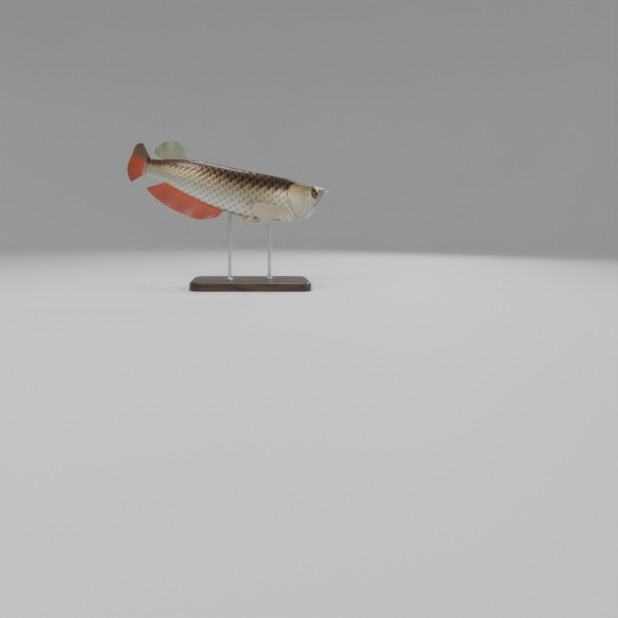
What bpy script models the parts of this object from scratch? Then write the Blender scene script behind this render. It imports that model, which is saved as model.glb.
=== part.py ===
"""Asian arowana, a life-size still model swimming on a plain display stand."""
import math

import bmesh
import bpy
import numpy as np
from mathutils import Matrix, Vector

# Lengths are in metres. +X is ahead of the fish, +Y its left, +Z up.
# Shares are of the body length, from the jaw tip back to the tail base.
body_length = 0.325
gap = 0.0003
middle_station = 0.43
middle_place = (0.010, -0.005, 0.190)

# The swimming pose, in degrees
head_turn = 29.0
tail_turn = -27.0
nose_down = 8.5
tail_lift = 11.0
bank = 5.0
bend_start = 0.22
lift_start = 0.36

# Body form: station, top, bottom and half width. Heights are from the jaw tip.
body_form = (
    (0.000, 0.003, -0.004, 0.0065),
    (0.018, 0.009, -0.047, 0.0180),
    (0.042, 0.011, -0.099, 0.0290),
    (0.070, 0.013, -0.143, 0.0375),
    (0.105, 0.015, -0.173, 0.0445),
    (0.150, 0.016, -0.190, 0.0500),
    (0.220, 0.018, -0.206, 0.0555),
    (0.330, 0.019, -0.222, 0.0590),
    (0.430, 0.019, -0.226, 0.0585),
    (0.540, 0.019, -0.216, 0.0550),
    (0.660, 0.018, -0.194, 0.0480),
    (0.780, 0.009, -0.167, 0.0375),
    (0.890, -0.016, -0.144, 0.0255),
    (1.000, -0.046, -0.139, 0.0145),
    (1.100, -0.046, -0.139, 0.0145),
)
back_fullness = 2.5
keel_fullness = 1.75
widest_height = 0.56
chin_lean = 0.8
lean_end = 0.20

# Cuts between the lengths of the body
neck_station = 0.226
waist_station = 0.490
stalk_station = 0.750
body_end = 1.004
end_taper = 0.62

# Large overlapping scales
scale_columns = 22
scales_around = 14
scale_lift = 0.0005
scale_drop = 0.0008
scale_point = 0.0016

# Stand
base_length = 0.200
base_width = 0.120
base_height = 0.014
base_corner = 0.016
base_edge = 0.002
rod_radius = 0.003
rod_depth = 0.014
front_rod_station = 0.330
rear_rod_station = 0.530

for item in list(bpy.data.objects):
    bpy.data.objects.remove(item, do_unlink=True)


def material(name, color, roughness, metallic=0.0):
    shade = bpy.data.materials.new(name)
    shade.use_nodes = True
    surface = shade.node_tree.nodes["Principled BSDF"]
    surface.inputs["Base Color"].default_value = (*color, 1.0)
    surface.inputs["Roughness"].default_value = roughness
    surface.inputs["Metallic"].default_value = metallic
    return shade


def smooth_curve(points):
    """A smooth curve through points, read at any station."""
    at = np.array([point[0] for point in points])
    value = np.array([point[1] for point in points])
    slope = np.gradient(value, at)

    def read(station):
        place = int(np.clip(np.searchsorted(at, station) - 1, 0, len(at) - 2))
        span = at[place + 1] - at[place]
        t = min(max((station - at[place]) / span, 0.0), 1.0)
        rise = value[place + 1] - value[place]
        start = slope[place] * span
        end = slope[place + 1] * span
        return float(value[place] + start * t + (3 * rise - 2 * start - end) * t**2
                     + (start + end - 2 * rise) * t**3)
    return read


body_top = smooth_curve([(row[0], row[1]) for row in body_form])
body_bottom = smooth_curve([(row[0], row[2]) for row in body_form])
body_half = smooth_curve([(row[0], row[3]) for row in body_form])


def heading(station):
    """Where the fish points at a station, in the plan view and in pitch."""
    bend = min(max((station - bend_start) / (1.0 - bend_start), 0.0), 1.25)
    lift = min(max((station - lift_start) / (1.0 - lift_start), 0.0), 1.0)
    yaw = math.radians(head_turn + (tail_turn - head_turn) * bend)
    pitch = math.radians(nose_down + tail_lift * lift)
    return yaw, pitch


def axes(station):
    """Ahead, left and up of the fish at a station."""
    yaw, pitch = heading(station)
    ahead = Vector((math.cos(pitch) * math.cos(yaw), math.cos(pitch) * math.sin(yaw),
                    -math.sin(pitch)))
    left = Vector((-math.sin(yaw), math.cos(yaw), 0.0))
    lean = Matrix.Rotation(math.radians(-bank), 3, ahead)
    left = lean @ left
    return ahead, left, ahead.cross(left)


spine_step = 0.005
spine_first = -0.12
spine = [Vector((0.0, 0.0, 0.0))]
for index in range(300):
    middle = spine_first + (index + 0.5) * spine_step
    spine.append(spine[-1] - axes(middle)[0] * spine_step * body_length)


def spine_point(station):
    place = min(max((station - spine_first) / spine_step, 0.0), 298.999)
    index = int(place)
    return spine[index].lerp(spine[index + 1], place - index)


spine_shift = Vector(middle_place) - spine_point(middle_station)


def world(point):
    """From the straight fish, as shares of its length, to its swimming pose."""
    station, side, height = point
    ahead, left, up = axes(station)
    turned = left * (side * body_length) + up * (height * body_length)
    return spine_point(station) + spine_shift + turned


def share(metres):
    return metres / body_length


def skin_point(station, angle, lift=0.0):
    """A point of the straight body: angle 0 on the back, 180 degrees at the keel."""
    lean = chin_lean * max(0.0, 1.0 - station / lean_end) ** 2
    top_station = station * (1.0 + lean)
    top = body_top(top_station)
    bottom = body_bottom(station)
    centre = bottom + widest_height * (top - bottom)
    rise = math.cos(angle)
    side = math.sin(angle)
    reach = top - centre if rise > 0 else centre - bottom
    power = 2.0 / (back_fullness if rise > 0 else keel_fullness)
    height = centre + math.copysign(abs(rise) ** power, rise) * reach
    local = station + (top_station - station) * (height - bottom) / (top - bottom)
    half = body_half(local)
    width = math.copysign(abs(side) ** power, side) * half
    out = Vector((side / half, rise / reach)).normalized() * lift
    return Vector((local, width + out.x, height + out.y))


def surface_side(place, height):
    """Half width of the body at a place along it and a height."""
    station = place
    for _ in range(20):
        lean = chin_lean * max(0.0, 1.0 - station / lean_end) ** 2
        top = body_top(station * (1.0 + lean))
        bottom = body_bottom(station)
        share_up = (height - bottom) / (top - bottom)
        station += 0.6 * (place - station * (1.0 + lean * share_up))
    centre = bottom + widest_height * (top - bottom)
    reach = top - centre if height > centre else centre - bottom
    power = back_fullness if height > centre else keel_fullness
    near = min(abs(height - centre) / reach, 1.0)
    return body_half(place) * (1.0 - near**power) ** (1.0 / power)


def make_object(name, mesh_builder, shade):
    mesh = bpy.data.meshes.new(name)
    bmesh.ops.recalc_face_normals(mesh_builder, faces=mesh_builder.faces)
    if mesh_builder.calc_volume(signed=True) < 0:
        bmesh.ops.reverse_faces(mesh_builder, faces=mesh_builder.faces)
    mesh_builder.to_mesh(mesh)
    mesh_builder.free()
    made = bpy.data.objects.new(name, mesh)
    bpy.context.collection.objects.link(made)
    if shade:
        mesh.materials.append(shade)
        mesh.shade_smooth()
        mesh.set_sharp_from_angle(angle=math.radians(40))
    return made


def loft(rings):
    """A closed body through rings of points, with a flat fan over each end."""
    build = bmesh.new()
    placed = [[build.verts.new(world(point)) for point in ring] for ring in rings]
    count = len(placed[0])
    for near, far in zip(placed, placed[1:]):
        for index in range(count):
            following = (index + 1) % count
            build.faces.new((near[index], near[following], far[following]))
            build.faces.new((near[index], far[following], far[index]))
    for ring in (placed[0], placed[-1]):
        middle = sum((vertex.co for vertex in ring), Vector()) / count
        hub = build.verts.new(middle)
        for index in range(count):
            build.faces.new((hub, ring[index], ring[(index + 1) % count]))
    return build


def cutter(name, mesh_builder):
    made = make_object(name, mesh_builder, None)
    made.hide_render = True
    made.display_type = "WIRE"
    return made


def boolean(target, tool, operation="DIFFERENCE"):
    change = target.modifiers.new(tool.name, "BOOLEAN")
    change.operation = operation
    change.object = tool
    change.solver = "EXACT"


def grown(outline, distance):
    """An outline moved outward by a distance, corner by corner."""
    count = len(outline)
    turning = sum(outline[i - 1][0] * outline[i][1] - outline[i][0] * outline[i - 1][1]
                  for i in range(count))
    moved = []
    for index in range(count):
        before = Vector(outline[index]) - Vector(outline[index - 1])
        after = Vector(outline[(index + 1) % count]) - Vector(outline[index])
        tangent = (before.normalized() + after.normalized()).normalized()
        out = Vector((tangent.y, -tangent.x)) * math.copysign(1.0, turning)
        moved.append(tuple(Vector(outline[index]) + out * distance))
    return moved


def rounded(outline, steps=4):
    """A closed smooth outline through corner points."""
    count = len(outline)
    points = []
    for index in range(count):
        a, b, c, d = (Vector(outline[(index + k) % count]) for k in (-1, 0, 1, 2))
        for step in range(steps):
            t = step / steps
            points.append(tuple(0.5 * (2 * b + (c - a) * t + (2 * a - 5 * b + 4 * c - d) * t**2
                                       + (3 * b - a - 3 * c + d) * t**3)))
    return points


def prism(outline, inner, outer):
    """A block with an outline in the side view, from an inner to an outer side."""
    layers = [[(s, inner, z) for s, z in outline], [(s, outer, z) for s, z in outline]]
    return loft(layers)


# Trunk in three lengths, with rows of scales raised on its surface
def even_angles(station, count):
    """Angles that space points evenly round the body at a station."""
    fine = np.linspace(0.0, 2 * math.pi, 721)
    outline = np.array([skin_point(station, angle)[:] for angle in fine])
    steps = np.linalg.norm(np.diff(outline, axis=0), axis=1)
    travelled = np.concatenate(([0.0], np.cumsum(steps)))
    wanted = travelled[-1] * np.arange(count) / count
    return [float(angle) for angle in np.interp(wanted, travelled, fine)]


ring_angles = even_angles(middle_station, 2 * scales_around)
scale_pitch = (1.0 - neck_station) / (2 * scale_columns)


def plain_ring(station, lift=0.0, angles=ring_angles):
    return [skin_point(station, angle, lift) for angle in angles]


def scale_rings(number):
    """The free edges of one column of scales, and the step behind them."""
    station = neck_station + number * scale_pitch
    edge = []
    behind = []
    for index, angle in enumerate(ring_angles):
        pointed = 1 if (index + number) % 2 else -1
        place = station + pointed * share(scale_point)
        edge.append(skin_point(place, angle, share(scale_lift)))
        behind.append(skin_point(place + share(scale_drop), angle))
    return [edge, behind]


def trunk(name, first, last, shade):
    rings = [plain_ring(first + share(gap) / 2)]
    clearance = share(scale_point + scale_drop) + 0.002
    for number in range(1, 2 * scale_columns):
        station = neck_station + number * scale_pitch
        if first + clearance < station < last - clearance:
            rings += scale_rings(number)
    rings.append(plain_ring(last - share(gap) / 2))
    if last >= body_end:
        ring = plain_ring(last)
        middle = sum(ring, Vector()) / len(ring)
        rings.append([middle.lerp(point, end_taper) + Vector((0.008, 0, 0)) for point in ring])
    return make_object(name, loft(rings), shade)


# Head, lower jaw and gill covers, parted from one form
head_stations = (0.0006, 0.004, 0.010, 0.019, 0.030, 0.042, 0.056, 0.072, 0.090, 0.110,
                 0.132, 0.155, 0.180, 0.204, neck_station - share(gap) / 2)
gill_stations = (0.112, 0.122, 0.134, 0.147, 0.160, 0.175, 0.190, 0.205, 0.220, 0.236, 0.252, 0.268, 0.285)
head_points = 36
head_angles = [2 * math.pi * index / head_points for index in range(head_points)]
mouth_angle = math.radians(50.0)
mouth_corner = 0.086
jaw_joint = (0.122, -0.134)
gill_outline = rounded([(0.152, -0.030), (0.137, -0.080), (0.133, -0.135), (0.152, -0.168),
                        (0.196, -0.172), (0.228, -0.146), (0.258, -0.104), (0.268, -0.062),
                        (0.250, -0.024), (0.200, -0.008)])
gill_inside = 0.022
gill_lift = 0.0008
eye_station = 0.095
eye_height = -0.038
eye_radius = 0.0096
eye_bulge = 0.55
eye_sink = 0.0016
lid_radius = 0.0012
lip_radius = 0.0012
lip_away = 0.0018
lip_tip = {1: 0.0015, -1: 0.0050}
groove_radius = 0.0007
nostril_place = (0.030, -0.008)
nostril_size = 0.0015


def mouth_height(station):
    """The mouth line, slanting down and back from the jaw tip."""
    return -0.001 - math.tan(mouth_angle) * station


jaw_outline = [(-0.020, mouth_height(-0.020)), (mouth_corner, mouth_height(mouth_corner)),
               jaw_joint, (0.138, -0.175), (0.138, -0.260), (-0.020, -0.260)]


def head_form(name, shade, lift=0.0, stations=head_stations):
    rings = [plain_ring(station, share(lift), head_angles) for station in stations]
    return make_object(name, loft(rings), shade)


def tube(path, radius, sides=6, closed=False):
    """A round bead through points of the straight fish."""
    count = len(path)
    rings = []
    for index in range(count):
        before = path[index - 1] if closed or index else path[0]
        after = path[(index + 1) % count] if closed or index < count - 1 else path[-1]
        ahead = (after - before).normalized()
        across = ahead.cross(Vector((0.0, 1.0, 0.0)))
        if across.length < 0.2:
            across = ahead.cross(Vector((0.0, 0.0, 1.0)))
        across.normalize()
        other = ahead.cross(across)
        ring = []
        for corner in range(sides):
            angle = 2 * math.pi * corner / sides
            ring.append(path[index] + (across * math.cos(angle) + other * math.sin(angle)) * share(radius))
        rings.append(ring)
    if not closed:
        return loft(rings)
    build = bmesh.new()
    placed = [[build.verts.new(world(point)) for point in ring] for ring in rings]
    for index in range(count):
        near = placed[index]
        far = placed[(index + 1) % count]
        for corner in range(sides):
            following = (corner + 1) % sides
            build.faces.new((near[corner], near[following], far[following]))
            build.faces.new((near[corner], far[following], far[corner]))
    return build


def on_surface(station, height, sign, sink=0.0):
    return Vector((station, sign * (surface_side(station, height) - share(sink)), height))


def around(station, height, radius, sign, steps, sink):
    """A ring of points on the side of the head about a place."""
    path = []
    for index in range(steps):
        angle = 2 * math.pi * index / steps
        along_place = station + share(radius) * math.cos(angle)
        path.append(on_surface(along_place, height + share(radius) * math.sin(angle), sign, sink))
    return path


def lip_path(direction):
    """Round the muzzle beside the mouth line, from one corner of the mouth to the other."""
    stations = (0.088, 0.080, 0.068, 0.055, 0.042, 0.030, 0.019, 0.010)
    sinks = (0.0018, 0.0006, 0.0003, 0.0003, 0.0003, 0.0003, 0.0004, 0.0005)
    away = direction * share(lip_away) / math.cos(mouth_angle)
    left = []
    for station, sink in zip(stations, sinks):
        left.append(on_surface(station, mouth_height(station) + away, 1, sink))
    right = [Vector((point.x, -point.y, point.z)) for point in reversed(left)]
    tip = Vector((lip_tip[direction], 0.0, 0.5 * (left[-1].z + away - 0.001)))
    return left + [tip] + right


flesh = material("arowana_body", (0.55, 0.47, 0.30), 0.35, 0.35)
bone = material("arowana_head", (0.60, 0.52, 0.36), 0.30, 0.30)
fin_red = material("arowana_red_fin", (0.52, 0.10, 0.03), 0.45)
fin_pale = material("arowana_pale_fin", (0.70, 0.58, 0.38), 0.45)
eye_shade = material("arowana_eye", (0.05, 0.04, 0.03), 0.08)
wood = material("stand_wood", (0.09, 0.05, 0.03), 0.40)
steel = material("stand_steel", (0.62, 0.62, 0.62), 0.30, 1.0)

head = head_form("head", bone)
jaw = head_form("lower_jaw", bone)
trunk_front = trunk("trunk_front", neck_station, waist_station, flesh)
trunk_middle = trunk("trunk_middle", waist_station, stalk_station, flesh)
tail_stalk = trunk("tail_stalk", stalk_station, body_end, flesh)

jaw_block = cutter("cut_jaw_block", prism(jaw_outline, -0.08, 0.08))
jaw_room = cutter("cut_jaw_room", prism(grown(jaw_outline, share(gap)), -0.09, 0.09))
boolean(jaw, jaw_block, "INTERSECT")
boolean(head, jaw_room)
boolean(head, cutter("add_upper_lip", tube(lip_path(1), lip_radius)), "UNION")
boolean(jaw, cutter("add_lower_lip", tube(lip_path(-1), lip_radius)), "UNION")

cheek_grooves = (((0.130, -0.046), (0.134, -0.048), (0.139, -0.048)),
                 ((0.102, -0.075), (0.109, -0.087), (0.119, -0.096), (0.131, -0.102)))
cover_groove = ((0.170, -0.012), (0.162, -0.045), (0.158, -0.085), (0.162, -0.125), (0.182, -0.156))
for side, sign in (("left", 1), ("right", -1)):
    cover = head_form("gill_cover_" + side, bone, gill_lift, gill_stations)
    block = cutter("cut_gill_" + side, prism(gill_outline, sign * gill_inside, sign * 0.08))
    room_outline = grown(gill_outline, share(gap))
    room_inside = sign * (gill_inside - share(gap))
    room = cutter("cut_gill_room_" + side, prism(room_outline, room_inside, sign * 0.09))
    boolean(cover, block, "INTERSECT")
    boolean(head, room)
    boolean(trunk_front, room)
    path = [on_surface(station, height, sign, -gill_lift) for station, height in cover_groove]
    boolean(cover, cutter("cut_cover_groove_" + side, tube(path, groove_radius)))
    for number, groove in enumerate(cheek_grooves):
        path = [on_surface(station, height, sign) for station, height in groove]
        boolean(head, cutter("cut_cheek_%d_%s" % (number, side), tube(path, groove_radius)))
    lid = around(eye_station, eye_height, eye_radius + lid_radius * 0.4, sign, 16, 0.0002)
    boolean(head, cutter("add_lid_" + side, tube(lid, lid_radius, 5, True)), "UNION")
    nostril = around(*nostril_place, nostril_size, sign, 10, 0.0002)
    boolean(head, cutter("add_nostril_" + side, tube(nostril, 0.0006, 5, True)), "UNION")


def eye_form(radius, sign):
    """A flattened ball, facing out of the side of the head."""
    build = bmesh.new()
    bmesh.ops.create_uvsphere(build, u_segments=16, v_segments=8, radius=1.0)
    centre_side = surface_side(eye_station, eye_height) - share(eye_sink)
    for vertex in build.verts:
        ahead, around_height, out = vertex.co
        vertex.co = world((eye_station + share(radius) * ahead,
                           sign * (centre_side + share(radius) * eye_bulge * out),
                           eye_height + share(radius) * around_height))
    return build


for side, sign in (("left", 1), ("right", -1)):
    eye = make_object("eye_" + side, eye_form(eye_radius, sign), eye_shade)
    socket = cutter("cut_eye_" + side, eye_form(eye_radius + gap, sign))
    boolean(head, socket)


def barbel_path(sign, first, last):
    """From the tip of the lower jaw forward and up, easing over at its end."""
    path = []
    for t in np.linspace(first, last, 9):
        path.append(Vector((0.020 - 0.058 * t, sign * (0.008 + 0.020 * t), -0.036 + 0.074 * t - 0.014 * t**2)))
    return path


def barbel(path, start, end, sides=8):
    build = tube(path, 1.0, sides)
    build.verts.ensure_lookup_table()
    for index, centre in enumerate(path):
        middle = world(centre)
        radius = start + (end - start) * index / (len(path) - 1)
        for vertex in build.verts[index * sides:(index + 1) * sides]:
            vertex.co = middle + (vertex.co - middle).normalized() * radius
    for hub, index in ((build.verts[-2], 0), (build.verts[-1], len(path) - 1)):
        hub.co = world(path[index])
    return build


for side, sign in (("left", 1), ("right", -1)):
    make_object("barbel_" + side, barbel(barbel_path(sign, 0.0, 1.0), 0.0011, 0.0004), fin_pale)
    hole = cutter("cut_barbel_" + side, barbel(barbel_path(sign, -0.03, 0.5), 0.0014, 0.0014))
    boolean(jaw, hole)


# Fins: rays raised on both faces of a thin membrane, roots set into slots of the body
def along(angle_back, angle_out=0.0, sign=0):
    """A direction on the straight fish: back, then down by one angle and out by another."""
    back = math.radians(angle_back)
    out = math.radians(angle_out)
    return Vector((math.cos(back) * math.cos(out), sign * math.sin(out), -math.sin(back) * math.cos(out)))


def median_fin(edge, up, first, last, lean_first, lean_last, lengths, sway):
    """A fin on the midline: its root along the edge and its rays leaning back."""
    length = smooth_curve(lengths)

    def root(v):
        station = first + (last - first) * v
        return Vector((station, 0.0, edge(station)))

    def ray(v):
        lean = math.radians(lean_first + (lean_last - lean_first) * v)
        return Vector((math.sin(lean), 0.0, up * math.cos(lean))) * length(v)

    def bow(v):
        return Vector((0.0, sway, 0.0))
    return root, ray, bow


def caudal_parts():
    length = smooth_curve(((0.0, 0.134), (0.14, 0.160), (0.5, 0.180), (0.86, 0.164), (1.0, 0.138)))

    def root(v):
        return Vector((body_end + 0.006, 0.0, -0.0535 - 0.078 * v))

    def ray(v):
        return along(-32.0 + 68.0 * v) * length(v)

    def bow(v):
        return Vector((0.0, 0.012, 0.0))
    return root, ray, bow


def paired_parts(sign, start, end, down, out, lengths, droop):
    length = smooth_curve(lengths)

    def root(v):
        point = Vector(start).lerp(Vector(end), v)
        return Vector((point.x, sign * point.y, point.z))

    def ray(v):
        return along(down[0] + (down[1] - down[0]) * v, out[0] + (out[1] - out[0]) * v, sign) * length(v)

    def bow(v):
        return Vector(droop)
    return root, ray, bow


def fin_sheet(parts, marks, columns, thickness):
    """Both faces of a thin curved sheet: marks run out along the rays, columns across them."""
    root, ray, bow = parts

    def middle(u, v):
        reach = ray(v)
        if u < 0:
            return root(v) + reach.normalized() * share(u)
        return root(v) + reach * u + bow(v) * u * u

    def normal(u, v):
        out = middle(max(u, 0.0) + 0.02, v) - middle(max(u, 0.0), v)
        across = middle(max(u, 0.0) + 0.01, v + 0.01) - middle(max(u, 0.0) + 0.01, v - 0.01)
        return out.cross(across).normalized()

    build = bmesh.new()
    faces = []
    for face_side in (0.5, -0.5):
        grid = []
        for u in marks:
            row = []
            for number, v in enumerate(columns):
                reach = u * thickness.trim(number) if u == 1 else u
                offset = normal(u, v) * share(thickness(u, number)) * face_side
                row.append(build.verts.new(world(middle(reach, v) + offset)))
            grid.append(row)
        faces.append(grid)
    near, far = faces
    rows = len(marks)
    across = len(columns)

    def panel(a, b, c, d):
        build.faces.new((a, b, c))
        build.faces.new((a, c, d))

    for grid in faces:
        for i in range(rows - 1):
            for j in range(across - 1):
                panel(grid[i][j], grid[i][j + 1], grid[i + 1][j + 1], grid[i + 1][j])
    for i in range(rows - 1):
        for j in (0, across - 1):
            panel(near[i][j], near[i + 1][j], far[i + 1][j], far[i][j])
    for i in (0, rows - 1):
        for j in range(across - 1):
            panel(near[i][j], near[i][j + 1], far[i][j + 1], far[i][j])
    return build


class RayThickness:
    """Thick along each ray and thin between rays, solid at the root."""

    def __init__(self, root, ridge, web, tip, leading):
        self.root = root
        self.ridge = ridge
        self.web = web
        self.tip = tip
        self.leading = leading

    def trim(self, number):
        return 1.0 if number % 2 == 0 else 0.975

    def __call__(self, u, number):
        if u <= 0:
            return self.root
        on_ray = number % 2 == 0
        ridge = self.leading if number == 0 else self.ridge
        start = ridge if on_ray else self.web
        end = self.tip * 1.3 if on_ray else self.tip
        return start + (end - start) * u


class FlatThickness:
    def __init__(self, value):
        self.value = value

    def trim(self, number):
        return 1.0

    def __call__(self, u, number):
        return self.value


fin_marks = (0.16, 0.44, 0.72, 1.0)
slot_steps = 8


def fin(name, parts, rays, hosts, shade, root=0.0020, ridge=0.0014, leading=0.0016, depth=0.004,
        clear=0.004):
    columns = [index / (2 * rays - 2) for index in range(2 * rays - 1)]
    thickness = RayThickness(root, ridge, 0.0007, 0.0006, leading)
    marks = (-depth, 0.0) + fin_marks
    made = make_object(name, fin_sheet(parts, marks, columns, thickness), shade)
    root_width = (parts[0](1.0) - parts[0](0.0)).length
    margin = share(gap) / root_width
    slot_columns = [-margin + (1 + 2 * margin) * index / slot_steps for index in range(slot_steps + 1)]
    reach = share(clear) / parts[1](0.5).length
    slot_marks = (-depth - gap, 0.0, reach)
    slot = fin_sheet(parts, slot_marks, slot_columns, FlatThickness(root + 2 * gap))
    slot_cutter = cutter("cut_" + name, slot)
    for host in hosts:
        boolean(host, slot_cutter)
    return made


dorsal_lengths = ((0.0, 0.052), (0.12, 0.088), (0.4, 0.116), (0.7, 0.110), (1.0, 0.080))
anal_lengths = ((0.0, 0.056), (0.10, 0.092), (0.35, 0.116), (0.7, 0.128), (1.0, 0.118))
pectoral_lengths = ((0.0, 0.235), (0.3, 0.222), (0.65, 0.180), (1.0, 0.120))
pelvic_lengths = ((0.0, 0.130), (0.4, 0.118), (1.0, 0.082))

dorsal = median_fin(lambda s: body_top(s) - 0.003, 1, 0.812, 0.942, 24.0, 70.0, dorsal_lengths, 0.006)
fin("dorsal_fin", dorsal, 18, [tail_stalk], fin_pale)
anal = median_fin(lambda s: body_bottom(s) + 0.003, -1, 0.560, 0.885, 34.0, 56.0, anal_lengths, -0.010)
fin("anal_fin", anal, 26, [trunk_middle, tail_stalk], fin_red)
fin("caudal_fin", caudal_parts(), 16, [tail_stalk], fin_red, depth=0.006)

for side, sign, down in (("left", 1, (0.0, 20.0)), ("right", -1, (-2.0, 25.0))):
    start = (0.252, surface_side(0.252, -0.152) - 0.002, -0.152)
    end = (0.270, surface_side(0.270, -0.174) - 0.001, -0.174)
    pectoral = paired_parts(sign, start, end, down, (31.0, 22.0), pectoral_lengths, (0, 0, -0.020))
    fin("pectoral_fin_" + side, pectoral, 7, [trunk_front], fin_pale, root=0.0022, leading=0.0022, depth=0.005,
        clear=0.006)
    start = (0.418, 0.0125, body_bottom(0.418) + 0.006)
    end = (0.442, 0.0085, body_bottom(0.442) + 0.006)
    pelvic = paired_parts(sign, start, end, (50.0, 68.0), (14.0, 8.0), pelvic_lengths, (0.016, 0, 0.010))
    fin("pelvic_fin_" + side, pelvic, 5, [trunk_front], fin_pale, root=0.0018, depth=0.0035)


# Stand: a flat base and two rods that end in sockets in the belly
def rounded_plate(length, width, height, corner):
    build = bmesh.new()
    bmesh.ops.create_cube(build, size=1.0)
    bmesh.ops.scale(build, vec=(length, width, height), verts=build.verts)
    bmesh.ops.translate(build, vec=(0, 0, height / 2), verts=build.verts)
    upright = [edge for edge in build.edges if abs(edge.verts[0].co.z - edge.verts[1].co.z) > height / 2]
    bmesh.ops.bevel(build, geom=upright, offset=corner, affect="EDGES", segments=6, profile=0.5, material=-1)
    rim = [edge for edge in build.edges if all(vertex.co.z > height - 1e-6 for vertex in edge.verts)]
    bmesh.ops.bevel(build, geom=rim, offset=base_edge, affect="EDGES", segments=2, profile=0.5, material=-1)
    return build


def rod(place, low, high, radius):
    build = bmesh.new()
    bmesh.ops.create_cone(build, cap_ends=True, segments=20, radius1=radius, radius2=radius, depth=high - low)
    bmesh.ops.translate(build, vec=(place.x, place.y, (low + high) / 2), verts=build.verts)
    return build


make_object("stand_base", rounded_plate(base_length, base_width, base_height, base_corner), wood)
for name, station in (("front", front_rod_station), ("rear", rear_rod_station)):
    keel = world((station, 0.0, body_bottom(station)))
    top = keel.z + rod_depth
    make_object("stand_rod_" + name, rod(keel, base_height + gap, top, rod_radius), steel)
    socket = cutter("cut_rod_" + name, rod(keel, keel.z - 0.02, top + gap, rod_radius + gap))
    boolean(trunk_front if name == "front" else trunk_middle, socket)
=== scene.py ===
import math
import bmesh
import bpy
import numpy as np
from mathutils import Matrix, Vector

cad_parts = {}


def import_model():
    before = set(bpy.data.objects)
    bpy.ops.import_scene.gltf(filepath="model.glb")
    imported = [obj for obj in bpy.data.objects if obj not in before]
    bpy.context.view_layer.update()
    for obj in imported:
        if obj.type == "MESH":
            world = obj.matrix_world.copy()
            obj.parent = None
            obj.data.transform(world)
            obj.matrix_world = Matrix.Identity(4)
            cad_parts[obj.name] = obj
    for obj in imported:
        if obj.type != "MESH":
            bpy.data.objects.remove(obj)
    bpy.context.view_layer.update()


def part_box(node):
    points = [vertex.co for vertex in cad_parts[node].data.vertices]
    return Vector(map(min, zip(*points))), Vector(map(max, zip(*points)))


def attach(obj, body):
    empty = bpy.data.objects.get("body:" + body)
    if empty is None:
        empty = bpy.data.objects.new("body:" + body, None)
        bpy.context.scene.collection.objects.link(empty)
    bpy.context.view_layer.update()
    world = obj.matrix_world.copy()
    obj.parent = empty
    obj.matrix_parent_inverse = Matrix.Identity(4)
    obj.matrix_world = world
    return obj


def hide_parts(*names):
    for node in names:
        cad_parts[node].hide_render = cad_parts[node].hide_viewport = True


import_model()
mm = 0.001
chance = np.random.default_rng(11)

# Form of the fish, as in the solids. Stations run from the jaw tip (0) back to the tail base (1),
# sides and heights are shares of the same length.
fish = {
    "length": 0.325,
    "middleStation": 0.43,
    "middlePlace": (0.010, -0.005, 0.190),
    "headTurn": 29.0,
    "tailTurn": -27.0,
    "noseDown": 8.5,
    "tailLift": 11.0,
    "bank": 5.0,
    "bendStart": 0.22,
    "liftStart": 0.36,
    "backFullness": 2.5,
    "keelFullness": 1.75,
    "widestHeight": 0.56,
    "chinLean": 0.8,
    "leanEnd": 0.20,
    "neck": 0.226,
    "end": 1.004,
}
# station, top, bottom, half width
bodyForm = (
    (0.000, 0.003, -0.004, 0.0065),
    (0.018, 0.009, -0.047, 0.0180),
    (0.042, 0.011, -0.099, 0.0290),
    (0.070, 0.013, -0.143, 0.0375),
    (0.105, 0.015, -0.173, 0.0445),
    (0.150, 0.016, -0.190, 0.0500),
    (0.220, 0.018, -0.206, 0.0555),
    (0.330, 0.019, -0.222, 0.0590),
    (0.430, 0.019, -0.226, 0.0585),
    (0.540, 0.019, -0.216, 0.0550),
    (0.660, 0.018, -0.194, 0.0480),
    (0.780, 0.009, -0.167, 0.0375),
    (0.890, -0.016, -0.144, 0.0255),
    (1.000, -0.046, -0.139, 0.0145),
    (1.100, -0.046, -0.139, 0.0145),
)


def smoothCurve(points):
    at, value = np.array(points, float).T
    slope = np.gradient(value, at)

    def read(station):
        station = np.asarray(station, float)
        place = np.clip(np.searchsorted(at, station) - 1, 0, len(at) - 2)
        span = at[place + 1] - at[place]
        t = np.clip((station - at[place]) / span, 0, 1)
        rise = value[place + 1] - value[place]
        start = slope[place] * span
        end = slope[place + 1] * span
        bulge = (3 * rise - 2 * start - end) * t**2 + (start + end - 2 * rise) * t**3
        return value[place] + start * t + bulge
    return read


def smoothStep(value, low, high):
    t = np.clip((value - low) / (high - low), 0, 1)
    return t * t * (3 - 2 * t)


bodyTop = smoothCurve([(row[0], row[1]) for row in bodyForm])
bodyBottom = smoothCurve([(row[0], row[2]) for row in bodyForm])
bodyHalf = smoothCurve([(row[0], row[3]) for row in bodyForm])


def axesAt(station):  # ahead, left and up of the fish at a station
    bend = np.clip((station - fish["bendStart"]) / (1 - fish["bendStart"]), 0, 1.25)
    lift = np.clip((station - fish["liftStart"]) / (1 - fish["liftStart"]), 0, 1)
    yaw = np.radians(fish["headTurn"] + (fish["tailTurn"] - fish["headTurn"]) * bend)
    pitch = np.radians(fish["noseDown"] + fish["tailLift"] * lift)
    ahead = np.stack((np.cos(pitch) * np.cos(yaw), np.cos(pitch) * np.sin(yaw), -np.sin(pitch)), -1)
    level = np.stack((-np.sin(yaw), np.cos(yaw), 0 * yaw), -1)
    bank = math.radians(-fish["bank"])
    left = level * math.cos(bank) + np.cross(ahead, level) * math.sin(bank)
    return ahead, left, np.cross(ahead, left)


spineStations = -0.12 + 0.005 * np.arange(301)
spineSteps = axesAt(spineStations[:-1] + 0.0025)[0] * 0.005 * fish["length"]
spine = np.vstack((np.zeros(3), -np.cumsum(spineSteps, 0)))


def spinePoint(station):
    return np.stack([np.interp(station, spineStations, spine[:, axis]) for axis in range(3)], -1)


spine = spine + np.array(fish["middlePlace"]) - spinePoint(fish["middleStation"])


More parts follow.
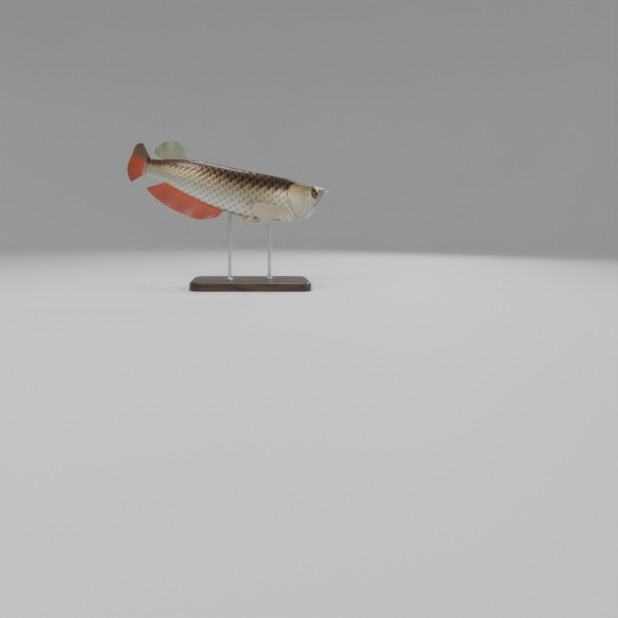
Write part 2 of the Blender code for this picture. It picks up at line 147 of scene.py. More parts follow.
def world(places):  # from the straight fish to its swimming pose
    places = np.asarray(places, float)
    ahead, left, up = axesAt(places[..., 0])
    turned = left * places[..., 1:2] + up * places[..., 2:3]
    return spinePoint(places[..., 0]) + turned * fish["length"]


def skinPlace(station, angle):  # a place on the straight body: angle 0 on the back, pi at the keel
    lean = fish["chinLean"] * np.maximum(0, 1 - station / fish["leanEnd"]) ** 2
    topStation = station * (1 + lean)
    top = bodyTop(topStation)
    bottom = bodyBottom(station)
    centre = bottom + fish["widestHeight"] * (top - bottom)
    rise = np.cos(angle)
    side = np.sin(angle)
    reach = np.where(rise > 0, top - centre, centre - bottom)
    power = 2 / np.where(rise > 0, fish["backFullness"], fish["keelFullness"])
    height = centre + np.sign(rise) * np.abs(rise) ** power * reach
    local = station + (topStation - station) * (height - bottom) / (top - bottom)
    width = np.sign(side) * np.abs(side) ** power * bodyHalf(local)
    return np.stack((local, width, height), -1)


def surfaceSide(place, height):  # half width of the body at a place and a height
    place = np.asarray(place, float)
    station = place
    for _ in range(20):
        lean = fish["chinLean"] * np.maximum(0, 1 - station / fish["leanEnd"]) ** 2
        top = bodyTop(station * (1 + lean))
        bottom = bodyBottom(station)
        station = station + 0.6 * (place - station * (1 + lean * (height - bottom) / (top - bottom)))
    centre = bottom + fish["widestHeight"] * (top - bottom)
    reach = np.where(height > centre, top - centre, centre - bottom)
    power = np.where(height > centre, fish["backFullness"], fish["keelFullness"])
    near = np.minimum(np.abs(height - centre) / reach, 0.999)
    return bodyHalf(place) * (1 - near**power) ** (1 / power)


def levelOf(places):  # 0 at the keel, 1 at the back
    bottom = bodyBottom(places[..., 0])
    return np.clip((places[..., 2] - bottom) / (bodyTop(places[..., 0]) - bottom), 0, 1)


def evenAngles(station, count):  # angles that space points evenly round the body
    fine = np.linspace(0, 2 * math.pi, 1441)
    outline = skinPlace(np.full(fine.shape, station), fine)
    travelled = np.concatenate(([0], np.cumsum(np.linalg.norm(np.diff(outline, axis=0), axis=1))))
    return np.interp(travelled[-1] * np.arange(count + 1) / count, travelled, fine)


# Mesh making
def gridNormals(places, closed):
    along = np.gradient(places, axis=0)
    if closed:
        padded = np.concatenate((places[:, -2:-1], places, places[:, 1:2]), 1)
        around = np.gradient(padded, axis=1)[:, 1:-1]
    else:
        around = np.gradient(places, axis=1)
    normal = np.cross(around, along)
    return normal / np.maximum(np.linalg.norm(normal, axis=-1, keepdims=True), 1e-12)


def finishShell(build, mesh):  # weld, turn outward, write back
    bmesh.ops.remove_doubles(build, verts=build.verts, dist=2e-7)
    bmesh.ops.recalc_face_normals(build, faces=build.faces)
    if build.calc_volume(signed=True) < 0:
        bmesh.ops.reverse_faces(build, faces=build.faces)
    build.to_mesh(mesh)
    build.free()


def addPiece(name, mesh, shade, nodes=(), sharp=50):
    piece = bpy.data.objects.new(name, mesh)
    bpy.context.collection.objects.link(piece)
    mesh.materials.clear()
    mesh.materials.append(shade)
    mesh.shade_smooth()
    mesh.set_sharp_from_angle(angle=math.radians(sharp))
    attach(piece, "root")
    if nodes:
        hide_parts(*nodes)
    return piece


def writeMarks(mesh, marks, maps):
    for title, values in marks.items():
        flat = np.ascontiguousarray(values, dtype=np.float32)
        if flat.ndim > 1 and flat.shape[-1] == 3:
            mesh.attributes.new(title, "FLOAT_VECTOR", "POINT").data.foreach_set("vector", flat.reshape(-1))
        else:
            mesh.attributes.new(title, "FLOAT", "POINT").data.foreach_set("value", flat.reshape(-1))
    corner = np.empty(len(mesh.loops), dtype=np.int32)
    mesh.loops.foreach_get("vertex_index", corner)
    for title, values in maps.items():
        flat = np.ascontiguousarray(values, dtype=np.float32).reshape(-1, 2)[corner]
        mesh.uv_layers.new(name=title).uv.foreach_set("vector", flat.reshape(-1))


def placedMesh(name, build, places, marks, maps):  # moves the corners of a form to the given places
    mesh = bpy.data.meshes.new(name)
    build.to_mesh(mesh)
    mesh.vertices.foreach_set("co", np.ascontiguousarray(places, dtype=np.float32).reshape(-1))
    writeMarks(mesh, marks, maps)
    build.clear()
    build.from_mesh(mesh)
    finishShell(build, mesh)
    return mesh


def gridMesh(name, places, marks, maps):  # a grid laid on the given places, welded where they meet
    rows, columns = places.shape[:2]
    build = bmesh.new()
    bmesh.ops.create_grid(build, x_segments=columns - 1, y_segments=rows - 1, size=0.5)
    marks = {title: values.reshape(rows * columns, -1) for title, values in marks.items()}
    return placedMesh(name, build, places, marks, maps)


def spinForm(build, steps):  # turns a form once round the vertical
    bmesh.ops.spin(build, geom=build.verts[:] + build.edges[:], cent=(0, 0, 0), axis=(0, 0, 1),
                   angle=2 * math.pi, steps=steps, use_merge=True)


def spunProfile(profile, steps):  # a profile of radius and height, turned once round
    build = bmesh.new()
    points = [build.verts.new((radius, 0, z)) for radius, z in profile]
    for first, second in zip(points, points[1:]):
        build.edges.new((first, second))
    spinForm(build, steps)
    return build


def unwrapGrid(rows, columns):  # an even map of a grid
    across, down = np.meshgrid(np.linspace(0.01, 0.99, columns), np.linspace(0.01, 0.99, rows))
    return np.stack((across, down), -1)


# Materials
class Signal:
    def __init__(self, finish, socket):
        self.finish = finish
        self.socket = socket

    def maths(self, operation, first, second):
        return self.finish.add("ShaderNodeMath", {"operation": operation}, {0: first, 1: second})

    def __add__(self, other):
        return self.maths("ADD", self, other)

    def __radd__(self, other):
        return self.maths("ADD", other, self)

    def __sub__(self, other):
        return self.maths("SUBTRACT", self, other)

    def __rsub__(self, other):
        return self.maths("SUBTRACT", other, self)

    def __mul__(self, other):
        return self.maths("MULTIPLY", self, other)

    def __rmul__(self, other):
        return self.maths("MULTIPLY", other, self)

    def __abs__(self):
        return self.maths("ABSOLUTE", self, 0.0)


class Finish:
    def __init__(self, name):
        self.material = bpy.data.materials.new(name)
        self.material.use_nodes = True
        self.tree = self.material.node_tree
        self.surface = self.tree.nodes["Principled BSDF"]

    def feed(self, socket, value):
        if isinstance(value, Signal):
            self.tree.links.new(value.socket, socket)
        else:
            socket.default_value = value

    def add(self, kind, settings, values, output=0):
        node = self.tree.nodes.new(kind)
        for key, value in settings.items():
            if key == "stops":
                ramp = node.color_ramp
                while len(ramp.elements) < len(value):
                    ramp.elements.new(1.0)
                for stop, (place, color) in zip(ramp.elements, value):
                    stop.position = place
                    stop.color = (*color, 1.0)
            else:
                setattr(node, key, value)
        for key, value in values.items():
            self.feed(node.inputs[key], value)
        return Signal(self, node.outputs[output])

    def mark(self, name, output="Fac"):
        return self.add("ShaderNodeAttribute", {"attribute_name": name}, {}, output)

    def place(self):
        return self.add("ShaderNodeTexCoord", {}, {}, "Object")

    def map(self, name):
        return self.add("ShaderNodeUVMap", {"uv_map": name}, {})

    def stretched(self, vector, scale):
        return self.add("ShaderNodeMapping", {}, {"Vector": vector, "Scale": scale})

    def split(self, vector, axis):
        return self.add("ShaderNodeSeparateXYZ", {}, {"Vector": vector}, axis)

    def noise(self, vector, scale, detail=3.0):
        values = {"Vector": vector, "Scale": scale, "Detail": detail}
        return self.add("ShaderNodeTexNoise", {}, values, "Fac")

    def sine(self, value):
        return self.add("ShaderNodeMath", {"operation": "SINE"}, {0: value})

    def cellEdges(self, vector, scale):
        settings = {"feature": "DISTANCE_TO_EDGE"}
        return self.add("ShaderNodeTexVoronoi", settings, {"Vector": vector, "Scale": scale}, "Distance")

    def step(self, value, low, high):
        settings = {"interpolation_type": "SMOOTHSTEP"}
        return self.add("ShaderNodeMapRange", settings, {"Value": value, "From Min": low, "From Max": high})

    def ramp(self, value, stops):
        return self.add("ShaderNodeValToRGB", {"stops": stops}, {"Fac": value})

    def mix(self, share, first, second):
        first = (*first, 1.0) if isinstance(first, tuple) else first
        second = (*second, 1.0) if isinstance(second, tuple) else second
        return self.add("ShaderNodeMix", {"data_type": "RGBA"}, {0: share, 6: first, 7: second}, 2)

    def bump(self, height, distance):
        values = {"Height": height, "Distance": distance}
        self.feed(self.surface.inputs["Normal"], self.add("ShaderNodeBump", {}, values))

    def set(self, values):
        for key, value in values.items():
            self.feed(self.surface.inputs[key], value)
        return self.material


# Body colours, shared by the skin and the scales that lie on it; the ridge colour is a painted highlight
# along the top
bodyColours = {
    "belly": (0.62, 0.58, 0.49),
    "silver": (0.52, 0.50, 0.43),
    "gold": (0.47, 0.36, 0.16),
    "bronze": (0.16, 0.085, 0.034),
    "back": (0.034, 0.016, 0.011),
    # painted highlight: a lighter line along the top of the back and head, standing in for light from above
    "ridge": (0.32, 0.20, 0.155),
    "crown": (0.045, 0.028, 0.019),
    "cheek": (0.55, 0.47, 0.30),
    "jaw": (0.50, 0.46, 0.38),
    "blush": (0.48, 0.20, 0.11),
}


def flankColour(finish, level, place):
    drift = finish.noise(place, 0.55, 2.0)
    shifted = level + (drift - 0.5) * 0.10
    # the last stop paints the ridge highlight along the top of the back
    stops = [(0.0, bodyColours["belly"]), (0.22, bodyColours["silver"]), (0.56, bodyColours["gold"]),
             (0.68, bodyColours["bronze"]), (0.77, bodyColours["back"]), (0.97, bodyColours["back"]),
             (1.0, bodyColours["ridge"])]
    return finish.ramp(shifted, stops)


def headColour(finish, level, place):
    drift = finish.noise(place, 1.1, 3.0)
    shifted = level + (drift - 0.5) * 0.12
    # the last stop paints the ridge highlight along the top of the head
    stops = [(0.0, bodyColours["jaw"]), (0.30, bodyColours["jaw"]), (0.55, bodyColours["cheek"]),
             (0.74, bodyColours["gold"]), (0.86, bodyColours["bronze"]), (0.93, bodyColours["crown"]),
             (0.975, bodyColours["crown"]), (1.0, bodyColours["ridge"])]
    colour = finish.ramp(shifted, stops)
    along = finish.split(place, 0)
    blush = finish.step(along, 4.6, 7.0) * finish.step(finish.noise(place, 0.9), 0.45, 0.75)
    colour = finish.mix(blush * 0.35, colour, bodyColours["blush"])
    dusk = finish.step(along + drift * 1.2, 2.3, 0.5) * 0.5
    colour = finish.mix(dusk, colour, (0.15, 0.10, 0.065))
    cloud = finish.step(finish.noise(place, 0.8, 4.0), 0.42, 0.66) * finish.step(level, 0.45, 0.1)
    return finish.mix(cloud * 0.35, colour, (0.34, 0.27, 0.19))


def skinFinish():
    finish = Finish("arowanaSkin")
    place = finish.mark("bodyPlace", "Vector")
    level = finish.mark("level")
    bare = finish.mark("bare")
    crease = finish.mark("crease")
    colour = finish.mix(bare, flankColour(finish, level, place), headColour(finish, level, place))
    speckle = finish.step(finish.noise(place, 16.0, 4.0), 0.52, 0.72)
    colour = finish.mix(speckle * 0.16 * finish.step(level, 0.35, 0.9), colour, (0.07, 0.05, 0.03))
    # painted shade: darkens the skin in creases, grooves, pores, nostrils and along the gill cover's edge
    # step
    colour = finish.mix(crease * 0.88, colour, (0.040, 0.026, 0.018))
    cells = finish.cellEdges(place, 17.0)
    fine = finish.noise(place, 34.0, 4.0)
    relief = finish.step(cells, 0.0, 0.25) * 0.35 + fine * 0.45 + finish.noise(place, 7.0, 3.0) * 0.6
    mottle = finish.step(finish.noise(place, 2.6, 5.0), 0.50, 0.68) * bare * finish.step(level, 0.25, 0.7)
    colour = finish.mix(mottle * 0.30, colour, (0.16, 0.10, 0.045))
    finish.bump(relief, 0.00011)
    sheen = 1.0 - finish.step(level, 0.62, 0.9)
    return finish.set({
        "Base Color": colour,
        "Metallic": sheen * 0.68 * (1.0 - crease),
        "Roughness": 0.30 + fine * 0.16 + crease * 0.2,
        "Coat Weight": 0.35,
        "Coat Roughness": 0.12,
    })


def scaleFinish():
    finish = Finish("arowanaScales")
    place = finish.mark("bodyPlace", "Vector")
    level = finish.mark("plateLevel") * 0.75 + finish.mark("level") * 0.25
    tone = finish.mark("tone")
    plate = finish.map("scaleMap")
    across = abs(finish.split(plate, 0) * 2.0 - 1.0)
    along = finish.split(plate, 1)
    colour = flankColour(finish, level + (tone - 0.5) * 0.07, place)
    rim = 1.0 - (1.0 - finish.step(along, 0.86, 0.97)) * (1.0 - finish.step(across, 0.80, 0.96))
    core = (1.0 - finish.step(along, 0.55, 0.84)) * (1.0 - finish.step(across, 0.45, 0.85))
    deep = finish.mix(finish.step(level, 0.3, 0.75), (0.16, 0.20, 0.225), (0.020, 0.014, 0.014))
    colour = finish.mix(core * 0.62, colour, deep)
    bright = finish.mix(finish.step(level, 0.55, 0.78), (0.82, 0.74, 0.52), (0.26, 0.14, 0.06))
    colour = finish.mix(rim * 0.55, colour, bright)
    fan = finish.stretched(plate, (13.0, 3.0, 1.0))
    net = finish.step(finish.cellEdges(fan, 1.0), 0.0, 0.14)
    rings = finish.sine(along * 95.0 + across * across * 9.0)
    fine = finish.noise(place, 22.0, 3.0)
    tube = (1.0 - finish.step(across, 0.07, 0.17)) * finish.step(along, 0.46, 0.74) * finish.mark("lateral")
    tube = tube * (1.0 - finish.step(along, 0.88, 0.95))
    colour = finish.mix((1.0 - net) * 0.22, colour, deep)
    colour = finish.mix(finish.step(fine, 0.55, 0.8) * 0.12, colour, (0.05, 0.035, 0.02))
    relief = net * 0.5 + rings * 0.10 + rim * 0.8 + fine * 0.25 + tube * 2.6
    colour = finish.mix(tube * 0.30, colour, bright)
    finish.bump(relief, 0.00009)
    return finish.set({
        "Base Color": colour,
        "Metallic": 0.86 - finish.step(level, 0.6, 0.85) * 0.36,
        "Roughness": 0.24 + fine * 0.16 + tone * 0.06,
        "Coat Weight": 0.30,
        "Coat Roughness": 0.10,
    })


# Head relief, drawn in millimetres on the side view: x back from the jaw tip, z up
lengthMm = fish["length"] * 1000
headForm = {
    "gill": [(49.4, -9.8), (44.5, -26.0), (43.2, -43.9), (49.4, -54.6), (63.7, -55.9), (74.1, -47.5),
             (83.9, -33.8), (87.1, -20.2), (81.3, -7.8), (65.0, -2.6)],
    "gillLift": 0.8,
    "preopercle": [(56.0, -2.5), (52.7, -14.6), (51.2, -27.6), (52.4, -40.6), (57.5, -50.0), (66.0, -54.5)],
    "subopercle": [(53.5, -43.0), (62.0, -44.5), (72.0, -41.5), (84.5, -33.0)],
    "sutures": [[(41.5, -15.2), (43.5, -15.9), (45.8, -15.5)],
                [(33.5, -24.0), (36.5, -28.8), (40.5, -32.0), (43.8, -34.0)],
                [(28.5, -23.0), (26.5, -26.0)],
                [(37.5, -7.5), (42.0, -5.0), (47.5, -5.5)],
                [(20.0, -6.5), (15.5, -6.0), (11.5, -6.5)]],
    "mouth": [(-2.5, 2.7), (0.0, -0.3), (8.0, -9.9), (16.0, -19.4), (23.0, -27.7), (27.0, -32.0),
              (29.6, -33.9)],
    "maxilla": [(2.5, -0.6), (10.0, -7.2), (18.0, -16.4), (25.0, -24.6), (30.6, -29.6), (31.6, -33.4),
                (28.8, -34.4), (23.0, -28.3), (16.0, -20.0), (8.0, -10.5), (2.0, -3.2)],
    "jawCrease": [(30.0, -35.0), (34.5, -39.0), (39.7, -43.6), (43.2, -50.0), (45.0, -58.0)],
    "jawPores": [(5.5, -10.5), (9.5, -18.0), (14.0, -25.5), (19.0, -32.5), (25.0, -39.0), (31.5, -45.0),
                 (37.5, -49.5)],
    "cheekPores": [(47.8, -14.0), (46.6, -20.0), (46.2, -26.5), (46.4, -33.0), (47.6, -39.5), (50.2, -46.0),
                   (54.5, -51.2)],
    "nostrils": [(9.6, -2.7), (14.8, -3.0)],
    "eye": (0.095, -0.038),
    "eyeRadius": 9.6,
    "eyeBulge": 0.55,
    "eyeSink": 1.6,
    "eyeTurn": 10.0,
    "coatDepth": 0.6,
}
# Heights and depths of the head's relief, in millimetres
carving = {
    "gillFront": 0.35,
    "gillRim": 0.16,
    "preopercle": (0.30, 0.40),
    "subopercle": (0.16, 0.25),
    "suture": 0.22,
    "cheekPlates": 0.48,
    "fanRays": 0.07,
    "maxilla": 0.62,
    "lip": 0.75,
    "underLip": 0.25,
    "mouthLine": 1.7,
    "jawCrease": 0.55,
    "lid": (0.75, 0.25),
    "socket": 3.6,
    "nostril": (0.40, 0.9),
    "pore": 0.32,
    "jawFolds": 0.10,
    "throatFolds": 0.22,
    "chinGroove": 0.5,
}


def smoothPath(points, closed=False, steps=6):
    points = np.array(points, float)
    if closed:
        padded = np.vstack((points[-1:], points, points[:2]))
    else:
        padded = np.vstack((2 * points[0] - points[1], points, 2 * points[-1] - points[-2]))
    made = []
    for index in range(len(padded) - 3):
        a, b, c, d = padded[index:index + 4]
        for t in np.arange(steps) / steps:
            bend = (2 * a - 5 * b + 4 * c - d) * t**2 + (3 * b - a - 3 * c + d) * t**3
            made.append(0.5 * (2 * b + (c - a) * t + bend))
    if not closed:
        made.append(points[-1])
    return np.array(made)


def pathGap(spots, path, closed=False):  # distance to a path, and the side of it
    near = np.full(spots.shape[:-1], 1e9)
    side = np.zeros(spots.shape[:-1])
    ends = np.roll(path, -1, 0) if closed else path[1:]
    for start, end in zip(path, ends):
        step = end - start
        offset = spots - start
        t = np.clip((offset @ step) / (step @ step), 0, 1)
        away = np.linalg.norm(offset - t[..., None] * step, axis=-1)
        closer = away < near
        near = np.where(closer, away, near)
        side = np.where(closer, np.sign(step[0] * offset[..., 1] - step[1] * offset[..., 0]), side)
    return near, side


def insideDepth(spots, outline):  # distance inside a closed outline, negative outside
    x, z = spots[..., 0], spots[..., 1]
    within = np.zeros(x.shape, bool)
    for a, b in zip(outline, np.roll(outline, -1, 0)):
        spans = (a[1] > z) != (b[1] > z)
        slope = (b[0] - a[0]) / (b[1] - a[1] + 1e-12)
        within ^= spans & (x < a[0] + slope * (z - a[1]))
    return np.where(within, 1, -1) * pathGap(spots, outline, True)[0]


def hump(distance, width):
    return np.exp(-(distance / width) ** 2)


gillPath = smoothPath(headForm["gill"], True)


def scaledArea(spots):  # 1 where scales grow
    return smoothStep(spots[..., 0], 69.0, 75.0)


def eyeDistance(spots):
    centre = np.array(headForm["eye"]) * lengthMm
    return np.linalg.norm(spots - centre, axis=-1)


def eyePlane(spots):  # side of the flat of the eye, in millimetres
    centre = np.array(headForm["eye"]) * lengthMm
    middle = surfaceSide(*headForm["eye"]) * lengthMm
    return middle + math.tan(math.radians(headForm["eyeTurn"])) * (spots[..., 0] - centre[0])


def headRelief(places):  # millimetres outward, and how deep in a crease each place lies
    spots = places[..., (0, 2)] * lengthMm
    x, z = spots[..., 0], spots[..., 1]
    side = np.abs(places[..., 1]) * lengthMm
    flank = smoothStep(side, 1.0, 3.5)
    relief = np.zeros(x.shape)
    # crease depth, also used to paint shade into the skin's colour
    crease = np.zeros(x.shape)

    inGill = insideDepth(spots, gillPath)
    rear = smoothStep(x, 52.0, 64.0)
    cover = smoothStep(inGill, -0.3, 0.7)
    relief += cover * (0.15 + (headForm["gillLift"] - 0.15) * rear)
    relief -= headForm["coatDepth"] * scaledArea(spots) * (1 - cover)
    front = hump(inGill, 0.5) * (1 - rear)
    relief -= carving["gillFront"] * front
    relief -= carving["gillRim"] * hump(inGill - 3.2, 0.6) * rear * cover
    crease += 0.7 * front + 0.8 * hump(inGill + 0.6, 0.7) * rear

    gap, turn = pathGap(spots, smoothPath(headForm["preopercle"]))
    ridge, groove = carving["preopercle"]
    relief += flank * (ridge * hump(gap, 1.6) * (turn < 0) - groove * hump(gap, 0.45))
    crease += 0.6 * hump(gap, 0.45) * flank
    gap, turn = pathGap(spots, smoothPath(headForm["subopercle"]))
    ridge, groove = carving["subopercle"]
    relief += flank * cover * (ridge * hump(gap, 1.2) * (turn > 0) - groove * hump(gap, 0.4))
    crease += 0.35 * hump(gap, 0.4) * cover
    nearest = np.minimum(gap, np.abs(inGill))
    for suture in headForm["sutures"]:
        gap, turn = pathGap(spots, smoothPath(suture))
        relief -= carving["suture"] * hump(gap, 0.42) * flank
        crease += 0.45 * hump(gap, 0.42) * flank
        nearest = np.minimum(nearest, gap)
    cheek = smoothStep(x, 26.0, 36.0) * smoothStep(inGill, 6.0, 2.0)
    cheek = cheek * smoothStep(z, 0.0, -6.0) * smoothStep(z, -52.0, -44.0)
    relief += carving["cheekPlates"] * cheek * flank * (1 - np.exp(-nearest / 1.6))

    dx, dz = x - 54.0, z + 12.0
    fan = np.cos(np.arctan2(dz, dx) * 44.0) * smoothStep(np.hypot(dx, dz), 8.0, 24.0)
    relief += carving["fanRays"] * fan * smoothStep(inGill, 2.5, 6.0) * smoothStep(x, 56.0, 62.0) * flank

    plate = insideDepth(spots, smoothPath(headForm["maxilla"], True))
    relief += carving["maxilla"] * smoothStep(plate, -0.3, 0.7) * smoothStep(x, 1.5, 7.0)
    crease += 0.30 * hump(plate + 0.2, 0.4) * smoothStep(x, 4.0, 9.0)
    mouthGap, turn = pathGap(spots, smoothPath(headForm["mouth"]))
    below = turn < 0
    relief += carving["lip"] * hump(mouthGap - 1.8, 1.0) * below
    relief -= carving["underLip"] * hump(mouthGap - 3.9, 0.7) * below
    relief -= carving["mouthLine"] * hump(mouthGap, 0.62)
    crease += 1.3 * hump(mouthGap, 0.60) + 0.25 * hump(mouthGap - 3.9, 0.5) * below
    gap, turn = pathGap(spots, smoothPath(headForm["jawCrease"]))
    relief -= carving["jawCrease"] * hump(gap, 0.75) * flank
    crease += 0.55 * hump(gap, 0.6) * flank

    eyeGap = eyeDistance(spots)
    lid = carving["lid"][0] * hump(eyeGap - 10.1, 0.65) + carving["lid"][1] * hump(eyeGap - 11.3, 1.4)
    socket = smoothStep(eyeGap, 9.5, 8.7)
    upper = smoothStep(side, 2.0, 5.0)
    relief += upper * (lid - carving["socket"] * socket)
    crease += upper * 0.7 * hump(eyeGap - 9.3, 0.35)
    rim, hole = carving["nostril"]
    for centre in headForm["nostrils"]:
        gap = np.hypot(x - centre[0], z - centre[1])
        relief += (rim * hump(gap - 1.25, 0.4) - hole * hump(gap, 0.65)) * flank
        crease += 0.9 * hump(gap, 0.6) * flank
    for centre in headForm["jawPores"] + headForm["cheekPores"]:
        gap = np.hypot(x - centre[0], z - centre[1])
        relief -= carving["pore"] * hump(gap, 0.42) * flank
        crease += 0.6 * hump(gap, 0.36) * flank

    jaw = below * smoothStep(mouthGap, 2.5, 6.0) * (1 - cover) * flank
    jaw = jaw * smoothStep(x, 4.0, 12.0) * smoothStep(x, 44.0, 34.0)
    relief += carving["jawFolds"] * jaw * np.sin(mouthGap * 2 * math.pi / 5.2 + 0.06 * x)

    throat = smoothStep(z, -47.0, -55.0) * smoothStep(x, 40.0, 46.0) * smoothStep(x, 74.0, 66.0)
    folds = np.cos(inGill * 2 * math.pi / 2.4)
    relief += throat * (1 - cover) * carving["throatFolds"] * folds
    crease += throat * (1 - cover) * 0.35 * (0.5 - 0.5 * folds)
    chin = smoothStep(side, 3.2, 0.5) * smoothStep(levelOf(places), 0.25, 0.05)
    chin = chin * smoothStep(x, 9.0, 16.0) * smoothStep(x, 70.0, 55.0)
    relief -= carving["chinGroove"] * chin * hump(side, 0.8)
    crease += 0.3 * chin * hump(side, 0.8)
    return relief, np.clip(crease, 0, 1)


# Skin
skin = {"around": 420, "headRings": 150, "trunkRings": 84, "start": 0.0006, "headEnd": 0.245,
        "crowding": 1.12}
share = np.linspace(0, 1, skin["headRings"]) ** skin["crowding"]
headStations = skin["start"] + (skin["headEnd"] - skin["start"]) * share
trunkStations = np.linspace(skin["headEnd"], fish["end"], skin["trunkRings"] + 1)[1:]
rings = evenAngles(0.12, skin["around"])
places = skinPlace(np.concatenate((headStations, trunkStations))[:, None], rings[None, :])
closing = []
for t in (0.35, 0.65, 0.85, 1.0):  # round off the tail base
    last = places[-1]
    middle = last[:-1].mean(0)
    ring = middle + (last - middle) * math.sqrt(1 - t * t * 0.9)
    closing.append(ring + np.array((0.012 * t, 0, 0)))
places = np.concatenate((places, np.array(closing)))
spots = places[..., (0, 2)] * lengthMm
toEye = 1 - smoothStep(eyeDistance(spots), 10.6, 16.0)
toEye = toEye * smoothStep(np.abs(places[..., 1]) * lengthMm, 2.5, 7.0)
wanted = np.sign(places[..., 1]) * eyePlane(spots) / lengthMm
places[..., 1] += (wanted - places[..., 1]) * toEye
relief, crease = headRelief(places)
surface = world(places)
surface = surface + gridNormals(surface, True) * relief[..., None] * mm
surface = np.concatenate((np.broadcast_to(surface[0, :-1].mean(0), surface[:1].shape), surface,
                          np.broadcast_to(surface[-1, :-1].mean(0), surface[:1].shape)))


def widened(values):  # repeats the first and last rows for the poles
    return np.concatenate((values[:1], values, values[-1:]))


spots = places[..., (0, 2)] * lengthMm
bare = 1 - scaledArea(spots) * (1 - smoothStep(insideDepth(spots, gillPath), -0.5, 0.5))
marks = {"bodyPlace": widened(places * lengthMm / 10), "level": widened(levelOf(places)),
         "crease": widened(crease), "bare": widened(bare)}
mesh = gridMesh("bodySkin", surface, marks, {"OFBake": unwrapGrid(*surface.shape[:2])})
flesh = ("head", "lower_jaw", "gill_cover_left", "gill_cover_right", "trunk_front", "trunk_middle",
         "tail_stalk")
addPiece("bodySkin", mesh, skinFinish(), flesh, 180)
print("skin made:", len(mesh.polygons), "faces")


# Scales
coat = {
    "halfColumns": 48,
    "around": 14,
    "tailward": 0.28,
    "tuck": 2.2,
    "point": 1.6,
    "overlap": 1.04,
    "thickness": 0.32,
    "frontLift": -0.62,
    "edgeLift": 0.42,
    "crown": 0.26,
    "scallop": 0.86,
    "lateralRows": (8, 20),
    "across": (-1.0, -0.93, -0.72, -0.38, 0.0, 0.38, 0.72, 0.93, 1.0),
    "along": (0.0, 0.35, 0.65, 0.86, 0.955, 1.0),
}


def plateTemplate(across, along):
    build = bmesh.new()
    bmesh.ops.create_grid(build, x_segments=len(across) - 1, y_segments=len(along) - 1, size=0.5)
    for number, vertex in enumerate(build.verts):
        vertex.co = (across[number % len(across)], along[number // len(across)], 1)
    made = bmesh.ops.extrude_face_region(build, geom=build.faces[:])["geom"]
    lower = {item for item in made if isinstance(item, bmesh.types.BMVert)}
    for vertex in lower:
        vertex.co.z = 0
    under = [face for face in build.faces if all(vertex in lower for vertex in face.verts)]
    bmesh.ops.dissolve_faces(build, faces=under)
    bmesh.ops.recalc_face_normals(build, faces=build.faces)
    return build


def plateMesh(name, template, spots, marks, maps):  # one template laid at many places
    once = bpy.data.meshes.new("once")
    template.to_mesh(once)
    build = bmesh.new()
    for _ in range(len(spots)):
        build.from_mesh(once)
    mesh = bpy.data.meshes.new(name)
    build.to_mesh(mesh)
    mesh.vertices.foreach_set("co", np.ascontiguousarray(spots, dtype=np.float32).reshape(-1))
    writeMarks(mesh, {title: values.reshape(len(mesh.vertices), -1) for title, values in marks.items()}, maps)
    build.clear()
    build.from_mesh(mesh)
    bmesh.ops.recalc_face_normals(build, faces=build.faces)
    if build.calc_volume(signed=True) < 0:
        bmesh.ops.reverse_faces(build, faces=build.faces)
    build.to_mesh(mesh)
    build.free()
    bpy.data.meshes.remove(once)
    return mesh


ringAngles = evenAngles(fish["middleStation"], 2 * coat["around"])


def angleAt(number):
    turns = np.floor(number / (2 * coat["around"]))
    inside = number - turns * 2 * coat["around"]
    return np.interp(inside, np.arange(2 * coat["around"] + 1), ringAngles) + turns * 2 * math.pi


def coatStation(number):
    t = number / coat["halfColumns"]
    return fish["neck"] + (1.0 - fish["neck"]) * t * (1 + coat["tailward"] * (1 - t))


def raised(station, angle, lift):  # a place over the skin and its outward normal, in metres
    ahead = world(skinPlace(station + 0.002, angle)) - world(skinPlace(station - 0.002, angle))
    around = world(skinPlace(station, angle + 0.02)) - world(skinPlace(station, angle - 0.02))
    normal = np.cross(around, ahead)
    normal /= np.linalg.norm(normal, axis=-1, keepdims=True)
    return world(skinPlace(station, angle)) + normal * lift[..., None] * mm


cells = []
for number in range(0, coat["halfColumns"] + 1):
    for index in range(2 * coat["around"]):
        if (index + number) % 2:
            station = coatStation(number)
            spot = skinPlace(np.array(station), np.array(angleAt(index)))[[0, 2]] * lengthMm
            if insideDepth(spot[None], gillPath)[0] < 1.5:
                cells.append((number, index))
cells = np.array(cells)
template = plateTemplate(coat["across"], coat["along"])
corners = np.array([vertex.co[:] for vertex in template.verts])
number = cells[:, :1]
index = cells[:, 1:]
u, v, top = (np.broadcast_to(corners[:, axis], (len(cells), len(corners))) for axis in range(3))
half = (coatStation(number + 0.5) - coatStation(number - 0.5)) * lengthMm
draw = chance.normal(0, 1, (len(cells), 4))
rearEdge = coat["point"] - coat["scallop"] * half * np.abs(u) ** 2.3 + 0.12 * draw[:, :1]
frontEdge = -(2 * half + coat["tuck"])
back = frontEdge + (rearEdge - frontEdge) * v
station = coatStation(number) + back / lengthMm
angle = angleAt(index + u * coat["overlap"])
lift = coat["frontLift"] + (coat["edgeLift"] - coat["frontLift"]) * v + 0.05 * draw[:, 1:2] * v
lift = lift - coat["crown"] * np.abs(u) ** 3 - 0.10 * (v > 0.99) - 0.08 * (np.abs(u) > 0.99)
lift = lift - coat["thickness"] * (1 - top)
laid = raised(station, angle, lift)
body = skinPlace(station, angle)
centreLevel = levelOf(skinPlace(coatStation(number), angleAt(index)))
tone = chance.random((len(cells), 1))
marks = {"bodyPlace": body * lengthMm / 10, "level": levelOf(body),
         "plateLevel": np.broadcast_to(centreLevel, u.shape), "tone": np.broadcast_to(tone, u.shape),
         "lateral": np.broadcast_to(1.0 * np.isin(index, coat["lateralRows"]), u.shape)}
scaleMap = np.stack((u * 0.5 + 0.5, v), -1)
bakeX = (index + 1 + 0.46 * u) / (2 * coat["around"] + 2)
bakeY = (number + 1 + 0.92 * (2 * v - 1)) / (coat["halfColumns"] + 3)
